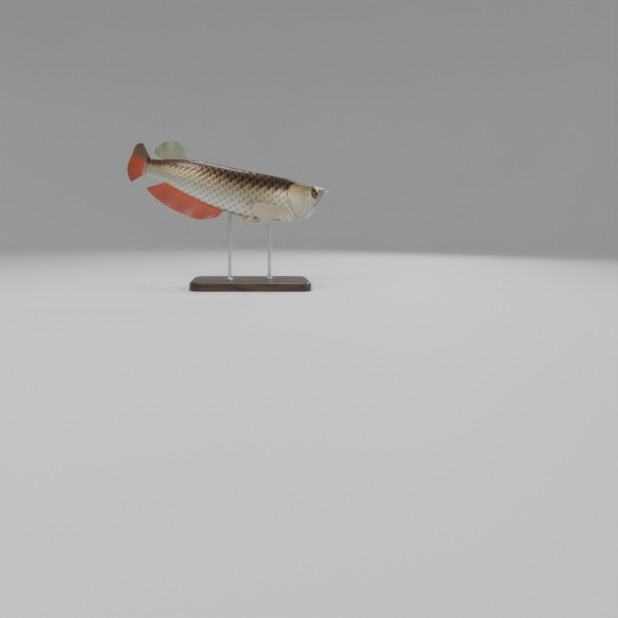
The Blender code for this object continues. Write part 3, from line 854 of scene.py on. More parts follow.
bakeMap = np.stack((bakeX, bakeY), -1)
mesh = plateMesh("scales", template, laid, marks, {"OFBake": bakeMap, "scaleMap": scaleMap})
scaleShade = scaleFinish()
addPiece("scales", mesh, scaleShade, (), 55)
print("scales made:", len(cells), "plates,", len(mesh.polygons), "faces")


# Fins: a closed thin sheet, thick along each ray, whose rays fork towards the margin
def along(angleBack, angleOut=0.0, sign=0):  # back along the fish, then down by one angle and out by another
    back = np.radians(angleBack)
    out = np.radians(angleOut)
    parts = (np.cos(back) * np.cos(out), sign * np.sin(out) + 0 * back, -np.sin(back) * np.cos(out))
    return np.stack(parts, -1)


def medianFin(edge, up, values):
    length = smoothCurve(values["lengths"])
    first, last = values["span"]
    leanFirst, leanLast = values["lean"]

    def parts(v):
        station = first + (last - first) * v
        lean = np.radians(leanFirst + (leanLast - leanFirst) * v)
        root = np.stack((station, 0 * v, edge(station)), -1)
        ray = np.stack((np.sin(lean), 0 * v, up * np.cos(lean)), -1) * length(v)[..., None]
        return root, ray, np.array((0.0, values["sway"], 0.0))
    return parts


def caudalFin(values):
    length = smoothCurve(values["lengths"])

    def parts(v):
        height = values["rootTop"] - values["rootDepth"] * v
        root = np.stack((fish["end"] + 0.006 + 0 * v, 0 * v, height), -1)
        ray = along(values["fanStart"] + values["fanSpread"] * v) * length(v)[..., None]
        return root, ray, np.array((0.0, values["sway"], 0.0))
    return parts


def pairedFin(sign, start, end, down, values):
    length = smoothCurve(values["lengths"])
    out = values["out"]

    def parts(v):
        root = np.array(start) + (np.array(end) - np.array(start)) * v[..., None]
        root = root * np.array((1, sign, 1))
        ray = along(down[0] + (down[1] - down[0]) * v, out[0] + (out[1] - out[0]) * v, sign)
        return root, ray * length(v)[..., None], np.array(values["droop"])
    return parts


fins = {
    "dorsal": {"rays": 18, "perRay": 14, "rows": 70, "depth": 4.0, "root": 2.0, "ridge": 1.25, "leading": 1.6,
               "web": 0.45, "tip": 0.30, "ripple": 0.9, "waves": 2.6,
               "span": (0.812, 0.942), "lean": (24.0, 70.0), "sway": 0.006,
               "lengths": ((0.0, 0.052), (0.12, 0.088), (0.4, 0.116), (0.7, 0.110), (1.0, 0.080))},
    "anal": {"rays": 26, "perRay": 12, "rows": 66, "depth": 4.0, "root": 2.0, "ridge": 1.25, "leading": 1.6,
             "web": 0.45, "tip": 0.30, "ripple": 1.0, "waves": 3.2,
             "span": (0.560, 0.885), "lean": (34.0, 56.0), "sway": -0.010,
             "lengths": ((0.0, 0.056), (0.10, 0.092), (0.35, 0.116), (0.7, 0.128), (1.0, 0.118))},
    "caudal": {"rays": 16, "perRay": 16, "rows": 90, "depth": 6.0, "root": 2.6, "ridge": 1.35, "leading": 1.7,
               "web": 0.50, "tip": 0.30, "ripple": 1.2, "waves": 2.0,
               "rootTop": -0.0535, "rootDepth": 0.078, "fanStart": -32.0, "fanSpread": 68.0, "sway": 0.012,
               "lengths": ((0.0, 0.134), (0.14, 0.160), (0.5, 0.180), (0.86, 0.164), (1.0, 0.138))},
    "pectoral": {"rays": 7, "perRay": 26, "rows": 110, "depth": 5.0, "root": 2.2, "ridge": 1.4,
                 "leading": 2.2, "web": 0.45, "tip": 0.30, "ripple": 0.6, "waves": 1.4,
                 "out": (31.0, 22.0), "droop": (0, 0, -0.020),
                 "lengths": ((0.0, 0.235), (0.3, 0.222), (0.65, 0.180), (1.0, 0.120))},
    "pelvic": {"rays": 5, "perRay": 24, "rows": 70, "depth": 3.5, "root": 1.8, "ridge": 1.2, "leading": 1.5,
               "web": 0.45, "tip": 0.30, "ripple": 0.3, "waves": 1.0,
               "out": (14.0, 8.0), "droop": (0.016, 0, 0.010),
               "lengths": ((0.0, 0.130), (0.4, 0.118), (1.0, 0.082))},
}
rayShape = {"width": 0.55, "fork": 0.38, "spread": 0.17, "secondFork": 0.68, "secondSpread": 0.085,
            "fray": 0.008, "edge": 0.3, "joint": 1.5}


def rayField(reach, across, count, spacing):  # 1 on a ray, 0 between rays
    number = np.clip(np.round(across * (count - 1)), 0, count - 1)
    phase = across * (count - 1) - number
    branching = np.where(number == 0, 0.0, 1.0)
    first = smoothStep(reach, rayShape["fork"], 1.15) * rayShape["spread"] * branching
    second = smoothStep(reach, rayShape["secondFork"], 1.1) * rayShape["secondSpread"] * branching
    width = rayShape["width"] * (1 - 0.45 * reach)
    field = np.zeros(phase.shape)
    for a in (-1, 1):
        for b in (-1, 1):
            offset = (phase - a * first - b * second) * spacing
            field = np.maximum(field, np.exp(-(offset / width) ** 2))
    return field, number


def makeFin(name, parts, values, nodes, shade):
    count = values["rays"]
    inner = np.linspace(0, 1, (count - 1) * values["perRay"] + 1)
    root, ray, bow = parts(inner)
    rootWidth = np.linalg.norm(root[-1] - root[0]) * lengthMm
    margin = rayShape["edge"] / max(rootWidth, 4.0)
    outerV = margin * np.array((-1.0, -0.85, -0.5))
    v = np.concatenate((outerV, inner, 1 - outerV[::-1]))
    root, ray, bow = parts(v)
    u = np.concatenate((np.array((-1.0, -0.6, 0.0)), np.linspace(0, 1, values["rows"])[1:] ** 0.97, [1.003]))
    reach = np.clip(u, 0, 1)[:, None] + 0 * v[None]
    across = np.clip(v, 0, 1)[None] + 0 * u[:, None]
    rayLength = np.linalg.norm(ray, axis=-1)
    tips = world(root + ray)
    stepTip = np.linalg.norm(np.gradient(tips, axis=0), axis=-1) / np.gradient(v) / (count - 1) / mm
    stepRoot = rootWidth / (count - 1)
    spacing = stepRoot + (stepTip[None] - stepRoot) * reach
    field, number = rayField(reach, across, count, spacing)
    nicks = 0.5 + 0.5 * np.sin(across[-1] * (count - 1) * 2 * math.pi * 0.37 + 1.3)
    corner = hump(across[-1], 0.03) + hump(1 - across[-1], 0.03)
    trim = 1 - 0.07 * corner - rayShape["fray"] * (1 - field[-1]) * (0.75 + 0.5 * nicks)
    beyond = np.maximum(np.maximum(-v, v - 1), 0) / margin
    rounding = np.sqrt(np.clip(1 - beyond, 0, 1))
    outward = np.where(u < 0, 0, u)[:, None] * trim[None]
    middle = root[None] + ray[None] * outward[..., None] + bow * outward[..., None] ** 2
    sunk = np.where(u < 0, -u, 0)[:, None] * values["depth"] / lengthMm
    middle = middle - (ray / rayLength[:, None])[None] * sunk[..., None]
    middle = world(middle)
    normal = gridNormals(middle, False)
    turns = values["waves"] * across + 0.35 * reach
    wave = values["ripple"] * reach**1.5 * np.sin(2 * math.pi * turns + 0.8)
    fade = smoothStep(across, 0.0, 0.08) * smoothStep(across, 1.0, 0.92)
    middle = middle + normal * (wave * fade)[..., None] * mm
    normal = gridNormals(middle, False)
    ridge = np.where(number == 0, values["leading"], values["ridge"]) * (1 - 0.58 * reach)
    web = values["web"] + (values["tip"] - values["web"]) * reach
    travel = reach * rayLength[None] * lengthMm
    beads = 0.5 + 0.5 * np.cos(travel * 2 * math.pi / rayShape["joint"])
    joints = 1 - 0.10 * smoothStep(reach, 0.15, 0.3) * beads
    thickness = web + (ridge * joints - web) * field
    fleshy = smoothStep(reach, 0.14, 0.0)
    thickness = thickness + (values["root"] - thickness) * fleshy * 0.85
    thickness = thickness * rounding[None]
    thickness[0] = 0
    thickness[-1] = 0
    shift = normal * (thickness * mm / 2)[..., None]
    surface = np.concatenate((middle + shift, (middle - shift)[:, ::-1][:, 1:]), 1)

    def doubled(field):
        return np.concatenate((field, field[:, ::-1][:, 1:]), 1)
    marks = {"finPlace": np.stack((across * (count - 1), travel / 10, 0 * reach), -1), "ridge": field,
             "reach": reach, "across": across, "fleshy": fleshy}
    marks = {title: doubled(field) for title, field in marks.items()}
    mesh = gridMesh(name, surface, marks, {"OFBake": unwrapGrid(*surface.shape[:2])})
    return addPiece(name, mesh, shade, nodes, 60)


def finFinish(name, rootTint, webTint, edgeTint, rayTint, clear, topTint=None):
    finish = Finish(name)
    place = finish.mark("finPlace", "Vector")
    ridge = finish.mark("ridge")
    reach = finish.mark("reach")
    across = finish.mark("across")
    fleshy = finish.mark("fleshy")
    drift = finish.noise(finish.stretched(place, (0.5, 0.35, 1.0)), 1.6, 3.0)
    streak = finish.noise(finish.stretched(place, (6.0, 0.25, 1.0)), 1.5, 2.0)
    web = finish.mix(finish.step(reach + (drift - 0.5) * 0.3, 0.05, 0.95), webTint, edgeTint)
    web = finish.mix(finish.step(streak, 0.45, 0.7) * 0.25, web, rootTint)
    colour = finish.mix(ridge * 0.7, web, rayTint)
    if topTint:
        colour = finish.mix(finish.step(across + (drift - 0.5) * 0.16, 0.42, 0.22) * 0.85, colour, topTint)
    margin = finish.step(reach, 0.93, 1.0)
    colour = finish.mix(margin * 0.35, colour, edgeTint)
    colour = finish.mix(fleshy * 0.75, colour, rootTint)
    joint = finish.sine(finish.split(place, 1) * (2 * math.pi / 0.15))
    fine = finish.noise(place, 14.0, 4.0)
    rungs = finish.step(joint, 0.72, 0.98) * ridge * finish.step(reach, 0.12, 0.3)
    colour = finish.mix(rungs * 0.18, colour, (0.10, 0.05, 0.03))
    relief = joint * ridge * 0.35 + fine * 0.5
    finish.bump(relief, 0.00010)
    opaque = 1.0 - (1.0 - ridge) * (1.0 - fleshy) * finish.step(reach, 0.0, 0.35) * clear
    return finish.set({
        "Base Color": colour,
        "Roughness": 0.40 + fine * 0.16,
        "Alpha": opaque,
        "Coat Weight": 0.12,
        "Coat Roughness": 0.18,
        "Subsurface Weight": 0.08,
        "Subsurface Radius": (0.003, 0.0010, 0.0005),
    })


redFin = finFinish("arowanaRedFin", (0.26, 0.085, 0.028), (0.42, 0.050, 0.012), (0.25, 0.018, 0.007),
                   (0.50, 0.095, 0.025), 0.20)
tailFinish = finFinish("arowanaTailFin", (0.22, 0.10, 0.045), (0.40, 0.048, 0.012), (0.23, 0.017, 0.007),
                       (0.48, 0.090, 0.025), 0.20, (0.055, 0.050, 0.028))
dorsalFinish = finFinish("arowanaDorsalFin", (0.11, 0.095, 0.055), (0.27, 0.28, 0.17), (0.19, 0.21, 0.13),
                         (0.13, 0.115, 0.060), 0.28)
paleFin = finFinish("arowanaPaleFin", (0.50, 0.40, 0.27), (0.60, 0.48, 0.32), (0.66, 0.54, 0.38),
                    (0.50, 0.33, 0.18), 0.30)

dorsalParts = medianFin(lambda station: bodyTop(station) - 0.003, 1, fins["dorsal"])
makeFin("dorsalFin", dorsalParts, fins["dorsal"], ["dorsal_fin"], dorsalFinish)
analParts = medianFin(lambda station: bodyBottom(station) + 0.003, -1, fins["anal"])
makeFin("analFin", analParts, fins["anal"], ["anal_fin"], redFin)
caudalParts = caudalFin(fins["caudal"])
makeFin("caudalFin", caudalParts, fins["caudal"], ["caudal_fin"], tailFinish)

# Small scales that run from the tail base out over the root of the tail fin
tailCoat = {"rows": 4, "perRow": 10, "start": -0.030, "step": 0.0120, "length": 0.031, "halfWidth": 0.060,
            "bodySide": 4.6, "finSide": 0.75, "thickness": 0.24}
cells = [(row, number) for row in range(tailCoat["rows"]) for number in range(tailCoat["perRow"])]
cells = np.array(cells * 2)
sign = np.repeat((1.0, -1.0), len(cells) // 2)[:, None]
u, w, top = (np.broadcast_to(corners[:, axis], (len(cells), len(corners))) for axis in range(3))
centre = (cells[:, 1:] + 0.25 + 0.5 * (cells[:, :1] % 2)) / tailCoat["perRow"]
v = np.clip(centre + u * tailCoat["halfWidth"], 0, 1)
reach = tailCoat["start"] + tailCoat["step"] * cells[:, :1] + tailCoat["length"] * w
reach = reach - 0.009 * w * np.abs(u) ** 2.3
root, ray, bow = caudalParts(v)
rayLength = np.linalg.norm(ray, axis=-1, keepdims=True)
outward = np.where(reach > 0, reach, 0)[..., None]
inward = np.where(reach < 0, reach, 0)[..., None] * (1, 0, 0)
place = root + ray / rayLength * outward + bow * (outward / rayLength) ** 2 + inward
taper = (1 - smoothStep(reach, -0.012, 0.034)) * np.sqrt(1 - 0.9 * (2 * v - 1) ** 2)
lift = tailCoat["finSide"] + (tailCoat["bodySide"] - tailCoat["finSide"]) * taper + 0.30 * w - 0.15
lift = lift - 0.25 * np.abs(u) ** 3 - tailCoat["thickness"] * (1 - top)
laid = world(place) + axesAt(place[..., 0])[1] * (sign * lift)[..., None] * mm
heights = 0.94 - 0.86 * v
marks = {"bodyPlace": place * lengthMm / 10, "level": heights, "plateLevel": heights, "lateral": 0 * v,
         "tone": np.broadcast_to(chance.random((len(cells), 1)), u.shape)}
bakeX = centre * 0.45 + 0.26 + 0.25 * sign + 0.02 * u
bakeY = (cells[:, :1] + 0.5 + 0.4 * (w * 2 - 1)) / tailCoat["rows"]
maps = {"OFBake": np.stack((bakeX, bakeY), -1), "scaleMap": np.stack((u * 0.5 + 0.5, w), -1)}
mesh = plateMesh("tailScales", template, laid, marks, maps)
template.free()
addPiece("tailScales", mesh, scaleShade, (), 55)
print("tail scales made:", len(cells), "plates")

# Paired fins
for side, sign, down in (("Left", 1, (0.0, 20.0)), ("Right", -1, (-2.0, 25.0))):
    start = (0.252, float(surfaceSide(0.252, -0.152)) - 0.002, -0.152)
    end = (0.270, float(surfaceSide(0.270, -0.174)) - 0.001, -0.174)
    parts = pairedFin(sign, start, end, down, fins["pectoral"])
    node = "pectoral_fin_" + side.lower()
    makeFin("pectoralFin" + side, parts, fins["pectoral"], [node], paleFin)
    start = (0.418, 0.0125, float(bodyBottom(0.418)) + 0.006)
    end = (0.442, 0.0085, float(bodyBottom(0.442)) + 0.006)
    parts = pairedFin(sign, start, end, (50.0, 68.0), fins["pelvic"])
    makeFin("pelvicFin" + side, parts, fins["pelvic"], ["pelvic_fin_" + side.lower()], paleFin)
print("fins made")


# Eyes
eye = {"segments": 72, "rings": 56, "lens": 0.56, "lensRise": 0.60, "lidRadius": 0.60, "lidPlace": 9.25,
       "lidHeight": 1.75, "lidSides": 16, "lidSteps": 110}


def eyeFinish():
    finish = Finish("arowanaEye")
    place = finish.mark("eyePlace", "Vector")
    fromPupil = finish.mark("fromPupil")
    up = finish.split(place, 1)
    fibres = finish.noise(finish.stretched(place, (3.0, 3.0, 3.0)), 2.4, 4.0)
    stops = [(0.58, (0.50, 0.33, 0.11)), (0.63, (0.10, 0.062, 0.030)), (0.80, (0.075, 0.058, 0.042)),
             (0.92, (0.15, 0.125, 0.09)), (0.98, (0.035, 0.026, 0.020))]
    iris = finish.ramp(fromPupil + (fibres - 0.5) * 0.10, stops)
    dusk = finish.step(abs(up) + (fibres - 0.5) * 0.5, 0.30, 0.72) * finish.step(fromPupil, 0.60, 0.70)
    iris = finish.mix(dusk * 0.80, iris, (0.035, 0.024, 0.018))
    colour = finish.mix(finish.step(fromPupil, 0.585, 0.565), iris, (0.002, 0.002, 0.003))
    finish.bump(fibres * finish.step(fromPupil, 0.59, 0.66), 0.00012)
    return finish.set({
        "Base Color": colour,
        "Metallic": finish.step(fromPupil, 0.57, 0.61) * 0.65,
        "Roughness": 0.28,
        "Coat Weight": 1.0,
        "Coat Roughness": 0.03,
        "Coat IOR": 1.38,
    })


def eyeFrame(sign):  # middle of the eye, ahead, up and outward, in the world
    station, height = headForm["eye"]
    middle = float(surfaceSide(station, height)) - headForm["eyeSink"] / lengthMm
    ahead, left, up = axesAt(np.array(station))
    turn = math.radians(headForm["eyeTurn"])
    out = sign * left * math.cos(turn) + ahead * math.sin(turn)
    front = ahead * math.cos(turn) - sign * left * math.sin(turn)
    return world((station, sign * middle, height)), front, up, out


def lidFinish():
    finish = Finish("arowanaEyelid")
    fine = finish.noise(finish.mark("bodyPlace", "Vector"), 24.0, 4.0)
    outer = finish.step(finish.mark("fromPupil"), -0.25, 0.35)
    finish.bump(fine, 0.00006)
    colour = finish.mix(outer, (0.10, 0.075, 0.055), bodyColours["cheek"])
    return finish.set({
        "Base Color": colour,
        "Metallic": outer * 0.4,
        "Roughness": 0.30 + fine * 0.12,
        "Coat Weight": 0.5,
        "Coat Roughness": 0.08,
    })


eyeShade = eyeFinish()
lidShade = lidFinish()
for side, sign in (("Left", 1), ("Right", -1)):
    middle, front, up, out = eyeFrame(sign)
    build = bmesh.new()
    bmesh.ops.create_uvsphere(build, u_segments=eye["segments"], v_segments=eye["rings"], radius=1.0)
    local = np.array([vertex.co[:] for vertex in build.verts])
    fromPupil = np.hypot(local[:, 0], local[:, 1])
    radius = headForm["eyeRadius"]
    outside = np.where(local[:, 2] > 0, 1, 0)
    dome = outside * eye["lensRise"] * np.sqrt(np.clip(1 - (fromPupil / eye["lens"]) ** 2, 0, 1))
    depth = local[:, 2] * radius * headForm["eyeBulge"] + dome
    spots = middle + (front * local[:, :1] * radius + up * local[:, 1:2] * radius + out * depth[:, None]) * mm
    marks = {"eyePlace": local, "fromPupil": np.where(outside, fromPupil, 1.0)}
    mesh = placedMesh("eye" + side, build, spots, marks, {"OFBake": local[:, :2] * 0.48 + 0.5})
    addPiece("eye" + side, mesh, eyeShade, ["eye_" + side.lower()], 180)

    build = bmesh.new()
    bmesh.ops.create_circle(build, segments=eye["lidSides"], radius=eye["lidRadius"])
    for vertex in build.verts:
        lean = 0.8 * vertex.co.y - 0.25 * vertex.co.x
        vertex.co = (eye["lidPlace"] + vertex.co.x, 0, eye["lidHeight"] + lean)
    spinForm(build, eye["lidSteps"])
    local = np.array([vertex.co[:] for vertex in build.verts])
    spots = middle + (front * local[:, :1] + up * local[:, 1:2] + out * local[:, 2:]) * mm
    turned = np.hypot(local[:, 0], local[:, 1])
    spread = local[:, :2] * 0.045 + 0.5
    marks = {"fromPupil": turned - eye["lidPlace"], "bodyPlace": local * 0.1}
    mesh = placedMesh("eyelid" + side, build, spots, marks, {"OFBake": spread})
    addPiece("eyelid" + side, mesh, lidShade, (), 180)
print("eyes made")


# Barbels
barbelForm = {"sides": 24, "rings": 90, "thick": 1.1, "thin": 0.38, "bands": 34,
              "root": (0.020, 0.008, -0.036), "run": (-0.058, 0.020, 0.074), "droop": -0.014}


def barbelFinish():
    finish = Finish("arowanaBarbel")
    place = finish.mark("bodyPlace", "Vector")
    reach = finish.mark("reach")
    fine = finish.noise(place, 30.0, 3.0)
    stops = [(0.0, bodyColours["jaw"]), (0.5, (0.52, 0.42, 0.30)), (1.0, (0.26, 0.18, 0.12))]
    colour = finish.ramp(reach + (fine - 0.5) * 0.2, stops)
    finish.bump(fine, 0.00006)
    return finish.set({"Base Color": colour, "Roughness": 0.38 + fine * 0.15, "Coat Weight": 0.3})


barbelShade = barbelFinish()
for side, sign in (("Left", 1), ("Right", -1)):
    t = np.linspace(-0.10, 1.0, barbelForm["rings"])
    back, out, height = (start + run * t for start, run in zip(barbelForm["root"], barbelForm["run"]))
    path = world(np.stack((back, sign * out, height + barbelForm["droop"] * t**2), -1))
    ahead = np.gradient(path, axis=0)
    ahead /= np.linalg.norm(ahead, axis=1, keepdims=True)
    across = np.cross(ahead, np.array((0.0, 1.0, 0.2)))
    across /= np.linalg.norm(across, axis=1, keepdims=True)
    other = np.cross(ahead, across)
    grow = np.clip(t, 0, 1)
    radius = barbelForm["thick"] + (barbelForm["thin"] - barbelForm["thick"]) * grow
    radius = radius * (1 + 0.05 * np.sin(grow * barbelForm["bands"] * 2 * math.pi))
    radius = radius * np.sqrt(np.clip((1.0 - t) / 0.02, 0, 1))
    turn = np.linspace(0, 2 * math.pi, barbelForm["sides"] + 1)
    ring = np.cos(turn)[None, :, None] * across[:, None] + np.sin(turn)[None, :, None] * other[:, None]
    surface = path[:, None] + ring * radius[:, None, None] * mm
    surface = np.concatenate((np.broadcast_to(path[0], surface[:1].shape), surface))
    reach = np.concatenate((grow[:1], grow))[:, None] + 0 * turn[None]
    spots = np.stack((reach * 5, sign + 0 * reach, np.cos(turn)[None] * 0.1 + 0 * reach), -1)
    marks = {"bodyPlace": spots, "reach": reach}
    mesh = gridMesh("barbel" + side, surface, marks, {"OFBake": unwrapGrid(*surface.shape[:2])})
    addPiece("barbel" + side, mesh, barbelShade, ["barbel_" + side.lower()], 180)
print("barbels made")


# Gill flaps: the soft edge of each gill cover, lying over the first scales
flap = {"inner": 2.6, "outer": -1.2, "thickness": 0.24, "steps": 14, "first": 0.36, "last": 0.93}


def flapFinish():
    finish = Finish("arowanaGillFlap")
    place = finish.mark("bodyPlace", "Vector")
    level = finish.mark("level")
    reach = finish.mark("reach")
    fine = finish.noise(place, 20.0, 4.0)
    colour = headColour(finish, level, place)
    colour = finish.mix(finish.step(reach, 0.30, 0.9) * 0.28, colour, bodyColours["blush"])
    colour = finish.mix(finish.step(reach, 0.86, 1.0) * 0.50, colour, (0.10, 0.07, 0.05))
    finish.bump(fine, 0.00008)
    return finish.set({
        "Base Color": colour,
        "Metallic": 0.30,
        "Roughness": 0.32 + fine * 0.14,
        "Coat Weight": 0.35,
        "Coat Roughness": 0.12,
    })


flapShade = flapFinish()
rearPath = smoothPath(headForm["gill"], True, 16)
rearPath = rearPath[int(flap["first"] * len(rearPath)):int(flap["last"] * len(rearPath))]
for side, sign in (("Left", 1), ("Right", -1)):
    tangent = np.gradient(rearPath, axis=0)
    tangent /= np.linalg.norm(tangent, axis=1, keepdims=True)
    inward = np.stack((-tangent[:, 1], tangent[:, 0]), -1)
    middlePoint = np.array(headForm["gill"]).mean(0)
    inward *= np.sign(np.sum(inward * (middlePoint - rearPath), 1))[:, None]
    share = np.linspace(0, 1, len(rearPath))
    taper = np.sqrt(np.clip(np.sin(math.pi * share), 0, 1)) * 0.999 + 0.001
    d = np.linspace(flap["inner"], flap["outer"], flap["steps"])
    ripple = 0.22 * np.sin(share * 31) + 0.12 * np.sin(share * 57 + 1)
    offset = d[None] * taper[:, None] + ripple[:, None] * (d[None] < 0)
    spots = rearPath[:, None] + inward[:, None] * offset[..., None]
    height = spots[..., 1] / lengthMm
    stationAt = spots[..., 0] / lengthMm
    base = np.stack((stationAt, sign * surfaceSide(stationAt, height), height), -1)
    toEdge = (flap["inner"] - d) / (flap["inner"] - flap["outer"])
    rise = 0.40 + 0.52 * smoothStep(toEdge, 0.0, 0.40)[None] * taper[:, None]
    thick = flap["thickness"] * np.sqrt(np.clip(1 - (2 * toEdge - 1) ** 6, 0, 1))[None] * taper[:, None]
    ground = world(base)
    normal = gridNormals(ground, False)
    normal *= np.sign(np.sum(normal * (axesAt(np.array(0.22))[1] * sign), -1, keepdims=True))
    topSide = ground + normal * (rise + 0 * stationAt)[..., None] * mm
    lowSide = topSide - normal * thick[..., None] * mm
    surface = np.concatenate((topSide, lowSide[:, ::-1][:, 1:]), 1)
    surface = np.concatenate((surface, surface[:, :1]), 1)
    firstPole = np.broadcast_to(surface[0].mean(0), surface[:1].shape)
    lastPole = np.broadcast_to(surface[-1].mean(0), surface[:1].shape)
    surface = np.concatenate((firstPole, surface, lastPole))

    def around(field):
        field = np.concatenate((field, field[:, ::-1][:, 1:], field[:, :1]), 1)
        return np.concatenate((field[:1], field, field[-1:]))
    marks = {"bodyPlace": around(base * lengthMm / 10), "level": around(levelOf(base)),
             "reach": around(toEdge[None] + 0 * stationAt)}
    mesh = gridMesh("gillFlap" + side, surface, marks, {"OFBake": unwrapGrid(*surface.shape[:2])})
    addPiece("gillFlap" + side, mesh, flapShade, (), 60)
print("gill flaps made")


# Stand
stand = {"length": 0.200, "width": 0.120, "height": 0.014, "corner": 0.016, "bevel": 0.0012, "rod": 0.003,
         "collar": 0.0062, "collarHeight": 0.005}


def woodFinish():
    finish = Finish("standWood")
    place = finish.place()
    warp = finish.noise(finish.stretched(place, (5.0, 14.0, 14.0)), 1.0, 2.0)
    along = finish.split(place, 0)
    across = finish.split(place, 1) + finish.split(place, 2) * 0.8
    rings = finish.sine(across * 260.0 + warp * 26.0 + along * 6.0)
    streak = finish.noise(finish.stretched(place, (12.0, 260.0, 260.0)), 1.0, 4.0)
    broad = finish.noise(finish.stretched(place, (4.0, 40.0, 40.0)), 1.0, 2.0)
    pores = finish.step(finish.noise(finish.stretched(place, (90.0, 1900.0, 1900.0)), 1.0, 3.0), 0.57, 0.66)
    stops = [(0.30, (0.022, 0.010, 0.005)), (0.50, (0.060, 0.027, 0.013)), (0.72, (0.110, 0.052, 0.024))]
    colour = finish.ramp(rings * 0.10 + streak * 0.55 + broad * 0.35, stops)
    colour = finish.mix(pores * 0.55, colour, (0.010, 0.005, 0.003))
    finish.bump(streak * 0.4 - pores * 0.8, 0.00005)
    return finish.set({
        "Base Color": colour,
        "Roughness": 0.30 + streak * 0.16,
        "Coat Weight": 0.30,
        "Coat Roughness": 0.18,
    })


def steelFinish():
    finish = Finish("standSteel")
    brushed = finish.noise(finish.stretched(finish.place(), (900.0, 900.0, 40.0)), 1.0, 3.0)
    finish.bump(brushed, 0.00002)
    colour = finish.mix(brushed, (0.50, 0.50, 0.50), (0.68, 0.68, 0.67))
    return finish.set({"Base Color": colour, "Metallic": 1.0, "Roughness": 0.20 + brushed * 0.16})


build = bmesh.new()
bmesh.ops.create_cube(build, size=1.0)
bmesh.ops.scale(build, vec=(stand["length"], stand["width"], stand["height"]), verts=build.verts)
bmesh.ops.translate(build, vec=(0, 0, stand["height"] / 2), verts=build.verts)
upright = [edge for edge in build.edges if abs(edge.verts[0].co.z - edge.verts[1].co.z) > stand["height"] / 2]
bmesh.ops.bevel(build, geom=upright, offset=stand["corner"], affect="EDGES", segments=16, profile=0.5,
                material=-1)
top = [face for face in build.faces if face.normal.z > 0.9]
for inset, drop in ((0.0022, 0.0), (0.0010, stand["bevel"])):
    bmesh.ops.inset_region(build, faces=top, thickness=inset, depth=drop)
build.normal_update()
for vertex in build.verts:
    if vertex.co.z > stand["height"] + 1e-6:
        vertex.co.z = stand["height"]
    elif vertex.co.z > stand["height"] - 1e-6:
        vertex.co.z = stand["height"] - stand["bevel"]
middle = stand["height"] / 2
edges = [edge for edge in build.edges
         if edge.calc_face_angle(0) > 0.3 and min(vertex.co.z for vertex in edge.verts) > middle]
bmesh.ops.bevel(build, geom=edges, offset=0.0004, affect="EDGES", segments=3, profile=0.5, material=-1)
mesh = bpy.data.meshes.new("standBase")
bmesh.ops.recalc_face_normals(build, faces=build.faces)
build.to_mesh(mesh)
build.free()
addPiece("standBase", mesh, woodFinish(), ["stand_base"], 30)

steel = steelFinish()
for name, node in (("Front", "stand_rod_front"), ("Rear", "stand_rod_rear")):
    low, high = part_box(node)
    centre = (Vector(low) + Vector(high)) / 2
    foot = low[2]
    collar, rod, shoulder = stand["collar"], stand["rod"], foot + stand["collarHeight"]
    profile = [(0.0, foot), (collar, foot), (collar, shoulder - 0.0016), (collar - 0.0004, shoulder - 0.0008),
               (collar - 0.0014, shoulder - 0.0003), (rod + 0.0004, shoulder), (rod, shoulder + 0.0006),
               (rod, high[2] - 0.0006), (rod - 0.0006, high[2]), (0.0, high[2])]
    build = spunProfile(profile, 64)
    bmesh.ops.translate(build, vec=(centre.x, centre.y, 0), verts=build.verts)
    mesh = bpy.data.meshes.new("standRod" + name)
    finishShell(build, mesh)
    addPiece("standRod" + name, mesh, steel, [node], 30)
print("stand made")


# Floor, backdrop, light and camera
def stageFinish():
    finish = Finish("paleFloor")
    soft = finish.noise(finish.place(), 3.0, 2.0)
    colour = finish.mix(soft, (0.74, 0.74, 0.73), (0.77, 0.77, 0.76))
    return finish.set({"Base Color": colour, "Roughness": 0.7})


backdrop = {"floor": 1.5, "bend": 0.8, "wall": 1.9}
profile = [(0.0, 0.0), (0.4, 0.0), (backdrop["floor"], 0.0)]
for step in range(1, 13):
    turn = step / 12 * math.pi / 2
    radius = backdrop["floor"] + backdrop["bend"] * math.sin(turn)
    profile.append((radius, backdrop["bend"] * (1 - math.cos(turn))))
profile.append((backdrop["floor"] + backdrop["bend"], backdrop["wall"]))
build = spunProfile(profile, 96)
bmesh.ops.remove_doubles(build, verts=build.verts, dist=1e-6)
mesh = bpy.data.meshes.new("floor")
bmesh.ops.recalc_face_normals(build, faces=build.faces)
build.to_mesh(mesh)
build.free()
floor = bpy.data.objects.new("floor", mesh)
mesh.materials.append(stageFinish())
mesh.shade_smooth()
bpy.context.collection.objects.link(floor)

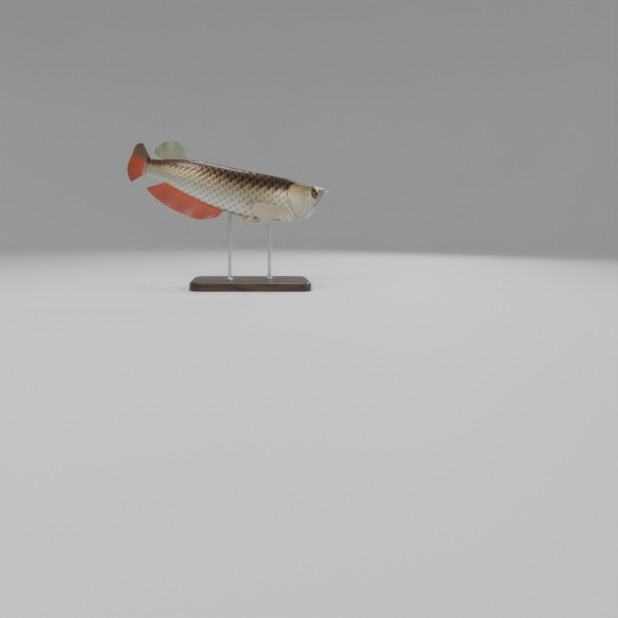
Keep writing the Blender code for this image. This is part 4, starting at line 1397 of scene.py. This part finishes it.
lighting = {"target": (0.0, 0.0, 0.17), "skyColour": (0.90, 0.95, 1.0, 1.0), "skyStrength": 0.24}
studio = bpy.data.worlds.new("studio")
bpy.context.scene.world = studio
studio.use_nodes = True
sky = studio.node_tree.nodes["Background"].inputs
sky["Color"].default_value = lighting["skyColour"]
sky["Strength"].default_value = lighting["skyStrength"]
lights = (
    ("keyLight", (-0.50, -0.75, 0.95), 9.0, 0.42, (1.0, 0.97, 0.93)),
    ("topLight", (0.05, 0.10, 1.20), 9.0, 0.50, (0.95, 0.98, 1.0)),
    ("rimLight", (0.60, 0.80, 0.60), 4.5, 0.30, (1.0, 1.0, 1.0)),
    ("fillLight", (0.95, -0.55, 0.35), 2.0, 0.25, (0.92, 0.96, 1.0)),
)
target = Vector(lighting["target"])
for name, spot, power, size, colour in lights:
    lamp = bpy.data.lights.new(name, "AREA")
    lamp.energy = power
    lamp.size = size
    lamp.color = colour
    made = bpy.data.objects.new(name, lamp)
    bpy.context.collection.objects.link(made)
    made.location = spot
    made.rotation_euler = (Vector(spot) - target).to_track_quat("Z", "Y").to_euler()

view = {"side": 618, "focalPixels": 526.0, "place": (0.0, -0.905, 0.11), "jawTipPixel": (324.0, 191.0)}
cameraData = bpy.data.cameras.new("camera")
camera = bpy.data.objects.new("camera", cameraData)
bpy.context.collection.objects.link(camera)
bpy.context.scene.camera = camera
camera.location = view["place"]
camera.rotation_euler = (math.pi / 2, 0, 0)
cameraData.sensor_width = 36.0
cameraData.lens = view["focalPixels"] / view["side"] * 36.0
tip = world((0.0, 0.0, 0.0))
depth = tip[1] - view["place"][1]
seenX = view["focalPixels"] * (tip[0] - view["place"][0]) / depth
seenZ = view["focalPixels"] * (tip[2] - view["place"][2]) / depth
cameraData.shift_x = (seenX - (view["jawTipPixel"][0] - view["side"] / 2)) / view["side"]
cameraData.shift_y = (seenZ - (view["side"] / 2 - view["jawTipPixel"][1])) / view["side"]
print("camera shift", round(cameraData.shift_x, 4), round(cameraData.shift_y, 4))
